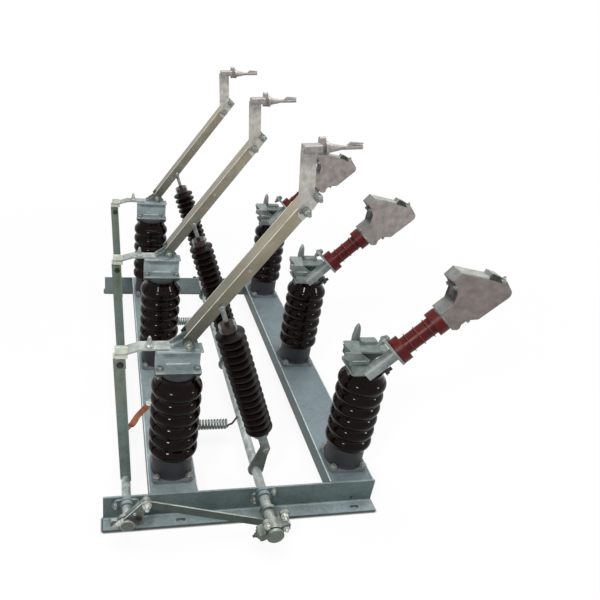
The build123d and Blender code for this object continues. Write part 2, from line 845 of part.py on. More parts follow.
# ---------------------------------------------------------------- main shaft
with BuildPart() as main_shaft:
    with BuildSketch(upright(frame_rear + shaft_overhang)):
        with Locations((main_x, shaft_z)):
            Circle(shaft_radius)
    extrude(amount=frame_rear + shaft_overhang - frame_front - shaft_front)
    for y in phases.values():
        with BuildSketch(upright(y + lever_thickness / 2)):
            with BuildLine():
                foot_a = polar(main_x, shaft_z, hub_radius, lever_angle + 90)
                foot_b = polar(main_x, shaft_z, hub_radius, lever_angle - 90)
                eye_a = polar(*lever_pin, lever_eye, lever_angle + 90)
                eye_b = polar(*lever_pin, lever_eye, lever_angle - 90)
                Polyline(foot_a, eye_a, eye_b, foot_b, close=True)
            make_face()
            with Locations((main_x, shaft_z)):
                Circle(hub_radius)
            with Locations(lever_pin):
                Circle(lever_eye)
        extrude(amount=lever_thickness)
    # interlock crank and clamp at the front end
    interlock_pin = polar(main_x, shaft_z, interlock_radius, interlock_angle)
    with BuildSketch(upright(frame_front + link_plane + link_thickness + 1 + 12)):
        with BuildLine():
            side_a = polar(main_x, shaft_z, hub_radius, interlock_angle + 90)
            side_b = polar(main_x, shaft_z, hub_radius, interlock_angle - 90)
            end_a = polar(*interlock_pin, 14, interlock_angle + 90)
            end_b = polar(*interlock_pin, 14, interlock_angle - 90)
            Polyline(side_a, end_a, end_b, side_b, close=True)
        make_face()
        with Locations((main_x, shaft_z)):
            Circle(hub_radius)
        with Locations(interlock_pin):
            Circle(14)
    extrude(amount=12)
    with BuildSketch(upright(frame_front + shaft_front + 60)):
        with Locations((main_x, shaft_z)):
            Circle(hub_radius)
            RectangleRounded(112, 30, 8, rotation=28)
    extrude(amount=44)
    with BuildSketch(upright(frame_front + shaft_front + 10)):
        with Locations((main_x, shaft_z)):
            Circle(hub_radius)
    extrude(amount=10)
    with BuildSketch(upright(frame_rear + shaft_overhang + 1)):
        with Locations((main_x, shaft_z)):
            Circle(shaft_bore)
    extrude(amount=frame_rear + shaft_overhang - frame_front - shaft_front - 12, mode=Mode.SUBTRACT)
write(main_shaft.part, "main_shaft")

# ---------------------------------------------------------------- earthing switch
crank_pin = polar(ground_x, earth_z, crank_radius, crank_angle)
with BuildPart() as earth_shaft:
    with BuildSketch(upright(frame_rear + shaft_overhang)):
        with Locations((ground_x, earth_z)):
            Circle(earth_radius)
    extrude(amount=frame_rear + shaft_overhang - frame_front - earth_front)
    with BuildSketch(upright(frame_front + link_plane + link_thickness + 1 + 12)):
        with BuildLine():
            side_a = polar(ground_x, earth_z, hub_radius, crank_angle + 90)
            side_b = polar(ground_x, earth_z, hub_radius, crank_angle - 90)
            end_a = polar(*crank_pin, 16, crank_angle + 90)
            end_b = polar(*crank_pin, 16, crank_angle - 90)
            Polyline(side_a, end_a, end_b, side_b, close=True)
        make_face()
        with Locations((ground_x, earth_z)):
            Circle(hub_radius + 6)
            RectangleRounded(112, 28, 8)
        with Locations(crank_pin):
            Circle(16)
        with Locations(crank_pin):
            Circle(pin_radius + running_clearance, mode=Mode.SUBTRACT)
    extrude(amount=12)
    with BuildSketch(upright(frame_rear + shaft_overhang + 1)):
        with Locations((ground_x, earth_z)):
            Circle(earth_bore)
    extrude(amount=frame_rear + shaft_overhang - frame_front - earth_front - 12, mode=Mode.SUBTRACT)
write(earth_shaft.part, "earth_shaft")

# Earthing blades: angle section welded on the shaft, closed under the terminals.
with BuildPart() as earth_blade_upright:
    with BuildSketch(Plane.XY) as blade_angle_section:
        with BuildLine():
            Polyline(
                (-earth_blade_width / 2, 0),
                (earth_blade_width / 2, 0),
                (earth_blade_width / 2, -earth_blade_leg),
                (earth_blade_width / 2 - earth_blade_wall, -earth_blade_leg),
                (earth_blade_width / 2 - earth_blade_wall, -earth_blade_wall),
                (-earth_blade_width / 2, -earth_blade_wall),
                close=True,
            )
        make_face()
    extrude(amount=earth_blade_length)
    with BuildSketch(Plane.XZ.offset(-10)):
        Circle(earth_radius)
    extrude(amount=60, mode=Mode.SUBTRACT)
for phase, y in phases.items():
    place = Location((ground_x, y - 8, earth_z), (0, -earth_blade_lean, 0))
    blade = earth_blade_upright.part.moved(place)
    blade.label = f"earth_blade_{phase}"
    export_step(blade, f"parts/earth_blade_{phase}.step")

# ---------------------------------------------------------------- interlock link
link_length = math.dist(crank_pin, interlock_pin)
link_slope = math.degrees(math.atan2(interlock_pin[1] - crank_pin[1], interlock_pin[0] - crank_pin[0]))
link_front = frame_front + link_plane
with BuildPart() as link:
    with BuildSketch(upright(link_front + link_thickness)):
        with Locations(((crank_pin[0] + interlock_pin[0]) / 2, (crank_pin[1] + interlock_pin[1]) / 2)):
            SlotOverall(link_length + link_width, link_width, rotation=link_slope)
    extrude(amount=link_thickness)
    with BuildSketch(upright(link_front + link_thickness + 13)):
        with Locations(crank_pin):
            Circle(pin_radius)
    extrude(amount=13)
write(link.part, "interlock_link")

# ---------------------------------------------------------------- springs and strap
spring_z = shaft_z - 4
spring_right = main_x - shaft_radius - spring_clear
spring_left = left_x + channel_width / 2
spring_front_y = frame_front + spring_setback
for node, y in (("spring_front", spring_front_y), ("spring_rear", spring_front_y + spring_pitch)):
    with BuildPart() as spring:
        coil_start = spring_left + spring_hook
        across = Plane(origin=(0, y, spring_z), x_dir=(0, 1, 0), z_dir=(1, 0, 0))
        with BuildSketch(across.offset(coil_start)):
            Circle(spring_radius)
            Circle(spring_radius - spring_wire, mode=Mode.SUBTRACT)
        extrude(amount=spring_right - coil_start)
        with BuildSketch(across.offset(coil_start)):
            Circle(spring_radius)
        extrude(amount=4)
        with BuildSketch(across.offset(spring_right - 4)):
            Circle(spring_radius)
        extrude(amount=4)
        with BuildSketch(across.offset(spring_left)):
            Circle(5)
        extrude(amount=spring_hook)
        with BuildSketch(across.offset(spring_right)):
            Circle(5)
        extrude(amount=spring_clear - 0.5)
    write(spring.part, node)

# Flexible earthing strap, bolted flat on the left channel and hung down to a lug on
# the earthing shaft.
strap_width = 26.0
strap_thickness = 3.0
strap_lug = 30.0
strap_start = (left_x - channel_width / 2 + 30, frame_front + 504.0)
strap_end = (ground_x, frame_front + 352.0)
strap_run = math.dist(strap_start, strap_end)
strap_drop = earth_z + earth_radius + 0.3 - beam_height
strap_plane = Plane(
    origin=(*strap_start, beam_height),
    x_dir=(strap_end[0] - strap_start[0], strap_end[1] - strap_start[1], 0),
    z_dir=(strap_end[1] - strap_start[1], strap_start[0] - strap_end[0], 0),
)
with BuildPart() as strap:
    with BuildSketch(strap_plane.offset(-strap_width / 2)):
        with BuildLine():
            top = Line((-16, strap_thickness), (58, strap_thickness))
            hang = Spline(
                top @ 1,
                (strap_run - 84, strap_thickness - 6),
                (strap_run - 50, strap_thickness - 17),
                (strap_run - strap_lug, strap_drop + strap_thickness),
                tangents=((1, -0.05), (1, 0.4)),
            )
            lug = Line(hang @ 1, (strap_run + 6, strap_drop + strap_thickness))
            lug_end = Line(lug @ 1, (strap_run + 6, strap_drop))
            lug_under = Line(lug_end @ 1, (strap_run - strap_lug, strap_drop))
            under = Spline(
                lug_under @ 1,
                (strap_run - 49, -18),
                (strap_run - 85, -6.5),
                (58, 0),
                tangents=((-1, -0.4), (-1, 0.05)),
            )
            seat = Line(under @ 1, (-16, 0))
            Line(seat @ 1, top @ 0)
        make_face()
    extrude(amount=strap_width)
write(strap.part, "earth_strap")
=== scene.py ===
# Three-phase disconnect switch with earthing switch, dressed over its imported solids.
import bpy
import bmesh
import json
import math
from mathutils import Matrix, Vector


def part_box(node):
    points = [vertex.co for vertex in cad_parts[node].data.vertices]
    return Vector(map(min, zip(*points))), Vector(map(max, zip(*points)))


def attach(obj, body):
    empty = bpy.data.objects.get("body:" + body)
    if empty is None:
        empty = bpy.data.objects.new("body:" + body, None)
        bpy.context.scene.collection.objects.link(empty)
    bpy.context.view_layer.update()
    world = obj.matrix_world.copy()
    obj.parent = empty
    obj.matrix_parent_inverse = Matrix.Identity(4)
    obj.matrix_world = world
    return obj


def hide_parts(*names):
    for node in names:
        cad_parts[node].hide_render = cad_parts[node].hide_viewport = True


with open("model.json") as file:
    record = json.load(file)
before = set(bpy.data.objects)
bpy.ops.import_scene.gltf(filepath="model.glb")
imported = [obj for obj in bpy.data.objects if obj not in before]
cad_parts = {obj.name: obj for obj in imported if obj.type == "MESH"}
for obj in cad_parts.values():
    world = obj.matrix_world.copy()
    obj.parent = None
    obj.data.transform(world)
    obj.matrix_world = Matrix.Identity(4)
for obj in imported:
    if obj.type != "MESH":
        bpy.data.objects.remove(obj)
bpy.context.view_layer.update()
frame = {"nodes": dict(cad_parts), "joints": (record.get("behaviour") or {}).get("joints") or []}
nodes = frame["nodes"]

# ------------------------------------------------------------------ camera and studio
# The switch stands on a pale studio floor, seen from above the left end of its front
# beam. A broad soft lamp hangs over it, and two small ones give the highlights.
eye_along_beam = 0.0168
eye_setback = 1.4924
eye_height = 1.6786
eye_turn = (61.32, -5.80, -10.52)
beam_low, beam_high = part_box("front_beam")
lens_data = bpy.data.cameras.new("studio_camera")
lens_data.lens = 35.5
lens_data.sensor_width = 36.0
lens_data.shift_x = 0.1107
lens_data.shift_y = 0.0135
lens_data.clip_end = 50
camera = bpy.data.objects.new("studio_camera", lens_data)
bpy.context.scene.collection.objects.link(camera)
camera.location = (beam_low.x + eye_along_beam, beam_high.y - eye_setback, eye_height)
camera.rotation_euler = [math.radians(angle) for angle in eye_turn]
bpy.context.scene.camera = camera
bpy.context.scene.view_settings.view_transform = "Standard"


def add(tree, kind, inputs=None, **settings):
    """A node with its settings made and its sockets set to values or fed by other sockets."""
    node = tree.nodes.new(kind)
    for label, value in settings.items():
        setattr(node, label, value)
    for socket, value in (inputs or {}).items():
        if isinstance(value, bpy.types.NodeSocket):
            tree.links.new(value, node.inputs[socket])
        else:
            node.inputs[socket].default_value = value
    return node


def shown(tree):
    """One for rays from the camera and for reflected and refracted ones, else nought."""
    rays = add(tree, "ShaderNodeLightPath")
    seen = rays.outputs["Is Camera Ray"]
    for kind in ("Is Glossy Ray", "Is Transmission Ray"):
        either = add(tree, "ShaderNodeMath", {0: seen, 1: rays.outputs[kind]}, operation="MAXIMUM")
        seen = either.outputs[0]
    return seen


world = bpy.data.worlds.new("studio")
bpy.context.scene.world = world
world.use_nodes = True
tree = world.node_tree
tree.nodes.clear()
soft = add(tree, "ShaderNodeBackground", {"Color": (0.90, 0.96, 1.0, 1), "Strength": 0.24})
white = add(tree, "ShaderNodeBackground", {"Color": (1, 1, 1, 1), "Strength": 1.0})
blend = add(tree, "ShaderNodeMixShader",
            {"Fac": shown(tree), 1: soft.outputs["Background"], 2: white.outputs["Background"]})
add(tree, "ShaderNodeOutputWorld", {"Surface": blend.outputs["Shader"]})

for name, place, aim, power, size in (
    ("top_lamp", (0.1, 0.3, 4.3), (0.0, 0.1, 0), 140, 3.4),
    ("key_lamp", (-1.9, -3.0, 3.0), (0, 0, 0.5), 72, 0.55),
    ("side_lamp", (3.2, -2.0, 2.2), (0, 0, 0.6), 30, 0.5),
):
    lamp_data = bpy.data.lights.new(name, "AREA")
    lamp_data.energy = power
    lamp_data.size = size
    lamp = bpy.data.objects.new(name, lamp_data)
    lamp.location = place
    lamp.rotation_euler = (Vector(aim) - Vector(place)).to_track_quat("-Z", "Y").to_euler()
    bpy.context.scene.collection.objects.link(lamp)

floor_reach = 30
shade_reach = 0.010
shade_power = 9
shaded_within = 1.0
white_beyond = 3.0
lit_share = 0.9
corners = ((-1, -1), (1, -1), (1, 1), (-1, 1))
floor_mesh = bpy.data.meshes.new("studio_floor")
floor_mesh.from_pydata([(x * floor_reach, y * floor_reach, 0) for x, y in corners], [], [(0, 1, 2, 3)])
floor = bpy.data.objects.new("studio_floor", floor_mesh)
bpy.context.scene.collection.objects.link(floor)
floor_paint = bpy.data.materials.new("studio_floor")
floor_paint.use_nodes = True
tree = floor_paint.node_tree
tree.nodes.clear()
bounce = add(tree, "ShaderNodeBsdfDiffuse", {"Color": (0.36, 0.37, 0.38, 1)})
paint = add(tree, "ShaderNodeBsdfDiffuse", {"Color": (0.92, 0.92, 0.92, 1)})
# Ambient occlusion darkens the floor's glow close to the parts and inside their slots: a painted contact
# shadow.
painted_shade_occlusion = add(tree, "ShaderNodeAmbientOcclusion", {"Distance": shade_reach})
painted_contact_shade = add(tree, "ShaderNodeMath", {0: painted_shade_occlusion.outputs["AO"], 1: shade_power}, operation="POWER")
glow = add(tree, "ShaderNodeEmission", {"Color": painted_contact_shade.outputs[0], "Strength": 1.0})
place = add(tree, "ShaderNodeTexCoord")
reach = add(tree, "ShaderNodeVectorMath", {0: place.outputs["Object"]}, operation="LENGTH")
fade = add(tree, "ShaderNodeMapRange",
           {"Value": reach.outputs["Value"], "From Min": shaded_within, "From Max": white_beyond,
            "To Min": lit_share, "To Max": 1.0})
pale = add(tree, "ShaderNodeMixShader",
           {"Fac": fade.outputs["Result"], 1: paint.outputs["BSDF"], 2: glow.outputs["Emission"]})
blend = add(tree, "ShaderNodeMixShader",
            {"Fac": shown(tree), 1: bounce.outputs["BSDF"], 2: pale.outputs["Shader"]})
add(tree, "ShaderNodeOutputMaterial", {"Surface": blend.outputs["Shader"]})
floor_mesh.materials.append(floor_paint)

# ------------------------------------------------------------------ welded base frame
# Two bent steel cross beams and two long channels, welded and hot-dip galvanised, dull
# and grey-green on their upright faces. Up-facing faces are painted paler as painted
# light; the rear beam's upright faces are painted lighter and the right channel's top
# darker, also as painted light and shade. Flanges on the beams hold the bearings of the
# two shafts with two bolts each.


def weathered_and_shaded(name, colour, spread, metal, rough, grain, bump=0.2, pits=0.0015, gloss=0.3,
              crystals=0.0, layers=()):
    """A finish with cloudy colour, uneven gloss and fine relief, sizes in metres.

    Each layer lays another colour over the part that an axis picks, from one value to
    another: "up" and "side" are a face's own slant, "height" is its place, and a point
    stands for the distance from the line through it along the phases. Layers give real
    colours, such as a cap's paint, and also painted light and shade: faces lighter or
    darker by their slant, and painted shade in corners and recesses."""
    crystal_share = 0.16
    tone_stops = (0.28, 0.72)
    sheen_stops = (0.3, 0.7)
    pit_depth = 0.0006
    skin = bpy.data.materials.new(name)
    skin.use_nodes = True
    tree = skin.node_tree
    shader = tree.nodes["Principled BSDF"]
    shader.inputs["Metallic"].default_value = metal
    shader.inputs["Specular IOR Level"].default_value = gloss
    place = add(tree, "ShaderNodeTexCoord")
    spot = place.outputs["Object"]
    clouds = add(tree, "ShaderNodeTexNoise",
                 {"Vector": spot, "Scale": 1 / grain, "Detail": 8, "Roughness": 0.6})
    tone = clouds.outputs["Fac"]
    if crystals:
        cells = add(tree, "ShaderNodeTexVoronoi", {"Vector": spot, "Scale": 1 / crystals})
        facet = add(tree, "ShaderNodeSeparateColor", {"Color": cells.outputs["Color"]})
        both = add(tree, "ShaderNodeMix", {"Factor": crystal_share, "A": tone, "B": facet.outputs["Red"]})
        tone = both.outputs["Result"]

    def shades(middle):
        ramp = add(tree, "ShaderNodeValToRGB", {"Fac": tone})
        stops = ramp.color_ramp.elements
        stops[0].position = tone_stops[0]
        stops[0].color = (*[c * (1 - spread) for c in middle], 1)
        stops[1].position = tone_stops[1]
        stops[1].color = (*[min(1, c * (1 + spread)) for c in middle], 1)
        stops.new(0.5).color = (*middle, 1)
        return ramp.outputs["Color"]

    face = shades(colour)
    for axis, start, end, over in layers:
        if isinstance(axis, Vector):
            away = add(tree, "ShaderNodeVectorMath", {0: spot, 1: axis}, operation="SUBTRACT")
            flat = add(tree, "ShaderNodeVectorMath", {0: away.outputs[0], 1: (1, 0, 1)}, operation="MULTIPLY")
            reach = add(tree, "ShaderNodeVectorMath", {0: flat.outputs[0]}, operation="LENGTH")
            part = reach.outputs["Value"]
        else:
            split = add(tree, "ShaderNodeSeparateXYZ",
                        {0: place.outputs["Object" if axis == "height" else "Normal"]})
            part = split.outputs["Y" if axis == "side" else "Z"]
        if axis == "side":
            part = add(tree, "ShaderNodeMath", {0: part}, operation="ABSOLUTE").outputs[0]
        mask = add(tree, "ShaderNodeMapRange", {"Value": part, "From Min": start, "From Max": end})
        # The mix node's colour sockets bear the same names as its others, so they go by place.
        mixed = add(tree, "ShaderNodeMix", {"Factor": mask.outputs["Result"], 6: face, 7: shades(over)},
                    data_type="RGBA")
        face = mixed.outputs[2]
    sheen = add(tree, "ShaderNodeMapRange",
                {"Value": tone, "From Min": sheen_stops[0], "From Max": sheen_stops[1],
                 "To Min": rough[0], "To Max": rough[1]})
    fine = add(tree, "ShaderNodeTexNoise", {"Vector": spot, "Scale": 1 / pits, "Detail": 4})
    relief = add(tree, "ShaderNodeBump",
                 {"Strength": bump, "Distance": pit_depth, "Height": fine.outputs["Fac"]})
    tree.links.new(face, shader.inputs["Base Color"])
    tree.links.new(sheen.outputs["Result"], shader.inputs["Roughness"])
    tree.links.new(relief.outputs["Normal"], shader.inputs["Normal"])
    return skin


def wear(name, skin):
    """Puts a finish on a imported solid."""
    for slot in nodes[name].material_slots:
        slot.material = skin


# This mask picks up-facing faces for painted light, or for painted shade where their colour is darker.
top_light_and_shade = ("up", 0.3, 0.85)
frame_crystals = 0.009
for solid, name, upright, top, spread, rough, grain in (
    ("front_beam", "beam_zinc", (0.115, 0.158, 0.152), (0.27, 0.325, 0.335), 0.3, (0.38, 0.6), 0.16),
    ("rear_beam", "rear_beam_zinc", (0.22, 0.27, 0.27), (0.27, 0.325, 0.335), 0.3, (0.38, 0.6), 0.16),
    ("left_channel", "channel_zinc", (0.09, 0.128, 0.124), (0.26, 0.315, 0.325), 0.25, (0.36, 0.58), 0.2),
    ("right_channel", "right_channel_zinc", (0.09, 0.128, 0.124), (0.18, 0.225, 0.24), 0.25, (0.36, 0.58),
     0.2),
):
    wear(solid, weathered_and_shaded(name, upright, spread=spread, metal=0.2, rough=rough, grain=grain,
                          crystals=frame_crystals, layers=[(*top_light_and_shade, top)]))


def piece_of(mesh, name, body):
    """A plain mesh as a piece of its own, which rides on a body."""
    piece = bpy.data.objects.new(name, mesh)
    bpy.context.scene.collection.objects.link(piece)
    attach(piece, body)
    return piece


def settle(holder, name, body):
    """Turns a curve or a modified holder into one plain mesh that rides on a body."""
    bpy.context.view_layer.update()
    seen = holder.evaluated_get(bpy.context.evaluated_depsgraph_get())
    mesh = bpy.data.meshes.new_from_object(seen)
    mesh.name = name
    bpy.data.objects.remove(holder)
    return piece_of(mesh, name, body)


def wire(name, body, skin, points, radius, smooth=False):
    """A round bar of one thickness along a line of points."""
    data = bpy.data.curves.new(name, "CURVE")
    data.dimensions = "3D"
    data.bevel_depth = radius
    data.bevel_resolution = 3
    data.use_fill_caps = True
    spline = data.splines.new("NURBS" if smooth else "POLY")
    spline.points.add(len(points) - 1)
    for point, spot in zip(spline.points, points):
        point.co = (*spot, 1)
    if smooth:
        spline.order_u = 3
        spline.use_endpoint_u = True
    data.materials.append(skin)
    holder = bpy.data.objects.new(name + "_line", data)
    bpy.context.scene.collection.objects.link(holder)
    return settle(holder, name, body)


# Bright wires along the channels' top edges are painted highlights.
edge_highlight_radius = 0.0024
edge_inset = 0.0012
edge_drop = 0.0008
edge_margin = 0.004
edge_highlight_zinc = weathered_and_shaded("painted_edge_highlight", (0.62, 0.70, 0.70), spread=0.25, metal=0.3, rough=(0.25, 0.4),
                      grain=0.06)
for side in ("left", "right"):
    low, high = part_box(f"{side}_channel")
    for rim, x in (("outer", low.x + edge_inset), ("inner", high.x - edge_inset)):
        ends = [(x, y, high.z - edge_drop) for y in (low.y + edge_margin, high.y - edge_margin)]
        wire(f"{side}_channel_{rim}_edge", "base", edge_highlight_zinc, ends, edge_highlight_radius)


def open_tree(name, sizes):
    """A new tree that takes points, named sizes and a finish, and the sockets that give them."""
    tree = bpy.data.node_groups.new(name, "GeometryNodeTree")
    face = tree.interface
    face.new_socket(name="Points", in_out="INPUT", socket_type="NodeSocketGeometry")
    for label, value in sizes.items():
        face.new_socket(name=label, in_out="INPUT", socket_type="NodeSocketFloat").default_value = value
    face.new_socket(name="Finish", in_out="INPUT", socket_type="NodeSocketMaterial")
    face.new_socket(name="Pieces", in_out="OUTPUT", socket_type="NodeSocketGeometry")
    return tree, add(tree, "NodeGroupInput").outputs


def close_tree(tree, given, put):
    """Ends a tree: what stands on the points is made real and gets the finish."""
    real = add(tree, "GeometryNodeRealizeInstances", {"Geometry": put.outputs["Instances"]})
    paint = add(tree, "GeometryNodeSetMaterial",
                {"Geometry": real.outputs["Geometry"], "Material": given["Finish"]})
    add(tree, "NodeGroupOutput", {"Pieces": paint.outputs["Geometry"]})
    return tree


def hex_bolt_tree():
    """Washer, hexagon and thread end on every point, aimed along the point's own way."""
    tree, given = open_tree("hex_bolts", {
        "Head radius": 0.014, "Head height": 0.010, "Washer radius": 0.016,
        "Washer thickness": 0.003, "Thread radius": 0.008, "Thread end": 0.006})

    def total(a, b):
        return add(tree, "ShaderNodeMath", {0: a, 1: b}, operation="ADD").outputs[0]

    def share(a, part):
        return add(tree, "ShaderNodeMath", {0: a, 1: part}, operation="MULTIPLY").outputs[0]

    def disc(corners, radius, top_radius, height, start):
        cone = add(tree, "GeometryNodeMeshCone",
                   {"Vertices": corners, "Radius Top": top_radius, "Radius Bottom": radius, "Depth": height})
        lift = add(tree, "ShaderNodeCombineXYZ", {"Z": start})
        move = add(tree, "GeometryNodeTransform",
                   {"Geometry": cone.outputs["Mesh"], "Translation": lift.outputs[0]})
        return move.outputs["Geometry"]

    washer_radius = given["Washer radius"]
    washer = given["Washer thickness"]
    head_radius = given["Head radius"]
    head = given["Head height"]
    thread_radius = given["Thread radius"]
    body = share(head, 0.82)
    chamfer = share(head, 0.18)
    join = add(tree, "GeometryNodeJoinGeometry")
    for part in (
        disc(20, washer_radius, washer_radius, washer, 0.0),
        disc(6, head_radius, head_radius, body, washer),
        disc(6, head_radius, share(head_radius, 0.86), chamfer, total(washer, body)),
        disc(12, thread_radius, share(thread_radius, 0.9), given["Thread end"], total(washer, head)),
    ):
        tree.links.new(part, join.inputs[0])
    aim = add(tree, "GeometryNodeInputNamedAttribute", {"Name": "aim"}, data_type="FLOAT_VECTOR")
    turn = add(tree, "FunctionNodeAlignRotationToVector", {"Vector": aim.outputs["Attribute"]}, axis="Z")
    put = add(tree, "GeometryNodeInstanceOnPoints",
              {"Points": given["Points"], "Instance": join.outputs[0], "Rotation": turn.outputs["Rotation"]})
    return close_tree(tree, given, put)


bolt_tree = hex_bolt_tree()
washer_share = 0.58
thread_share = 0.29


def grown(name, tree, points, aims, inputs):
    """A holder of points with a tree's modifier on it, its inputs set by identifier."""
    mesh = bpy.data.meshes.new(name + "_points")
    mesh.from_pydata(points, [], [])
    ways = mesh.attributes.new("aim", "FLOAT_VECTOR", "POINT")
    for way, aim in zip(ways.data, aims):
        way.vector = aim
    holder = bpy.data.objects.new(name + "_points", mesh)
    bpy.context.scene.collection.objects.link(holder)
    modifier = holder.modifiers.new("made", "NODES")
    modifier.node_group = tree
    for item in tree.interface.items_tree:
        if item.in_out == "INPUT" and item.name in inputs:
            modifier[item.identifier] = inputs[item.name]
    return holder


def bolts(name, body, skin, places, across, height, washer=0.0025, thread=0.004, stack=1):
    """Bolts or stacked nuts of one size; each place is a point and the way it faces."""
    points = []
    aims = []
    for spot, aim in places:
        for layer in range(stack):
            points.append(Vector(spot) + Vector(aim) * layer * (height + washer))
            aims.append(aim)
    holder = grown(name, bolt_tree, points, aims, {
        "Head radius": across / 2, "Head height": height, "Washer radius": across * washer_share,
        "Washer thickness": washer, "Thread radius": across * thread_share, "Thread end": thread,
        "Finish": skin})
    return settle(holder, name, body)


def pivot(joint):
    """A joint's centre at rest, and the end of its range in radians."""
    found = next(j for j in frame["joints"] if j["name"] == joint)
    return Vector(found["pos_m"]), math.radians(max(found["range_deg"], key=abs))


upward = Vector((0, 0, 1))
frontward = Vector((0, -1, 0))
rightward = Vector((1, 0, 0))
plated = weathered_and_shaded("plated_bolts", (0.26, 0.28, 0.26), spread=0.5, metal=0.6, rough=(0.28, 0.48),
                   grain=0.012, bump=0.15, pits=0.001)
dark_steel = weathered_and_shaded("dark_bolts", (0.05, 0.053, 0.05), spread=0.5, metal=0.4, rough=(0.35, 0.6),
                       grain=0.015, pits=0.001)
main_axis = pivot("main_shaft_turn")[0]
earth_axis = pivot("earth_shaft_turn")[0]
beam_wall = 0.007
bearing_flange = 0.009
bearing_bolt_reach = 0.0385
shaft_lean = math.radians(28)
front_face = beam_high.y - beam_wall
rear_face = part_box("rear_beam")[0].y + beam_wall
bearing_bolts = []
for face, way in ((front_face - bearing_flange, -1), (rear_face + bearing_flange, 1)):
    for axis, lean in ((main_axis, shaft_lean), (earth_axis, 0)):
        out = Vector((math.cos(lean), 0, -way * math.sin(lean)))
        for side in (-1, 1):
            spot = Vector((axis.x, face, axis.z)) + out * side * bearing_bolt_reach
            bearing_bolts.append((spot, (0, way, 0)))
bolts("bearing_bolts", "base", plated, bearing_bolts, across=0.021, height=0.009,
      thread=0.007)
# Thin dark discs on the front beam stand for two tapped holes: painted shade inside the holes.
tapped_spots = ((0.035, 0.068), (0.919, 0.025))
tapped = [((beam_low.x + out, front_face, rise), frontward) for out, rise in tapped_spots]
bolts("tapped_holes", "base", dark_steel, tapped, across=0.009, height=0.0003,
      washer=0.0003, thread=0.0001)

# ------------------------------------------------------------------ station posts
# Six solid-core porcelain posts with rounded sheds in a dark brown glaze, cemented
# into painted iron cups whose square flanges bolt down to the channels.
bolt_square = 0.117
flange = 0.014
channel_skin = 0.006
cement_ring = ((0.0655, 0), (0.0705, 0), (0.0695, 0.003), (0.0665, 0.003))
flange_paint = 0.0005
flange_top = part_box("post_foot_left_front")[0].z + flange + flange_paint
glaze = weathered_and_shaded("brown_glaze", (0.006, 0.0021, 0.0013), spread=0.6, metal=0.0, rough=(0.04, 0.09),
                  grain=0.03, bump=0.06, pits=0.007, gloss=0.095)
# Above the flange the cup is painted much darker than the flange, as painted shade on its upright sides.
foot_iron = weathered_and_shaded("foot_iron", (0.16, 0.176, 0.184), spread=0.3, metal=0.1, rough=(0.45, 0.65),
                      grain=0.05, bump=0.45, pits=0.0018,
                      layers=[("height", flange_top, flange_top + 0.001, (0.026, 0.029, 0.032))])
cement = weathered_and_shaded("cement_joint", (0.12, 0.115, 0.10), spread=0.35, metal=0.0, rough=(0.8, 0.95),
                   grain=0.01, bump=0.8, pits=0.002)


def shaped(form, name, body, skin):
    """A bmesh as a piece with its finish, which rides on a body."""
    mesh = bpy.data.meshes.new(name)
    form.to_mesh(mesh)
    form.free()
    mesh.materials.append(skin)
    return piece_of(mesh, name, body)


def lathe(name, body, skin, outline, centre, steps=48):
    """A turned ring about an upright axis, from a closed line of radius and height pairs."""
    form = bmesh.new()
    rings = []
    for radius, height in outline:
        ring = []
        for step in range(steps):
            turn = 2 * math.pi * step / steps
            ring.append(form.verts.new((centre.x + radius * math.cos(turn),
                                        centre.y + radius * math.sin(turn), centre.z + height)))
        rings.append(ring)
    for inner, outer in zip(rings, rings[1:] + rings[:1]):
        for step in range(steps):
            after = (step + 1) % steps
            form.faces.new((inner[step], inner[after], outer[after], outer[step]))
    bmesh.ops.recalc_face_normals(form, faces=form.faces)
    for face in form.faces:
        face.smooth = True
    return shaped(form, name, body, skin)


posts = {}
foot_bolts = []
foot_nuts = []
for phase in ("front", "mid", "rear"):
    for side in ("left", "right"):
        low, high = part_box(f"porcelain_{side}_{phase}")
        cup_low, cup_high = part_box(f"post_foot_{side}_{phase}")
        centre = (low + high) / 2
        posts[side, phase] = centre
        wear(f"porcelain_{side}_{phase}", glaze)
        wear(f"post_foot_{side}_{phase}", foot_iron)
        lathe(f"cement_{side}_{phase}", "base", cement, cement_ring,
              Vector((centre.x, centre.y, cup_high.z)))
        for i in (-0.5, 0.5):
            for j in (-0.5, 0.5):
                x = centre.x + i * bolt_square
                y = centre.y + j * bolt_square
                foot_bolts.append(((x, y, cup_low.z + flange), upward))
                foot_nuts.append(((x, y, cup_low.z - channel_skin), -upward))
bolts("post_foot_bolts", "base", plated, foot_bolts, across=0.027, height=0.010,
      washer=0.003, thread=0.005)
bolts("post_foot_nuts", "base", plated, foot_nuts, across=0.027, height=0.011,
      washer=0.003, thread=0.008)

# ------------------------------------------------------------------ hinge brackets
# Galvanised channel brackets on the painted caps of the left posts. Two cheeks stand
# inside the blade, and the tinned terminal bar lies on top, with a contact plate and a
# tab for the earthing blade.
cap_plate = 0.014
cap_lug = 0.062
cap_setback = 0.014
bracket_foot = 0.006
web_offset = 0.016
bend_span = (-0.038, 0.040)
bend_inset = 0.001
bend_rise = 0.0065
bend_radius = 0.0028
fold_span = (-0.066, 0.068)
fold_radius = 0.0015
terminal_reach = 0.010
terminal_rise = 0.093
terminal_half = 0.016
cap_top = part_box("porcelain_left_front")[1].z + cap_plate
hinge, open_turn = pivot("blade_front_swing")
phases = {phase: pivot(f"blade_{phase}_swing")[0].y for phase in ("front", "mid", "rear")}
cap_iron = (0.05, 0.057, 0.057)
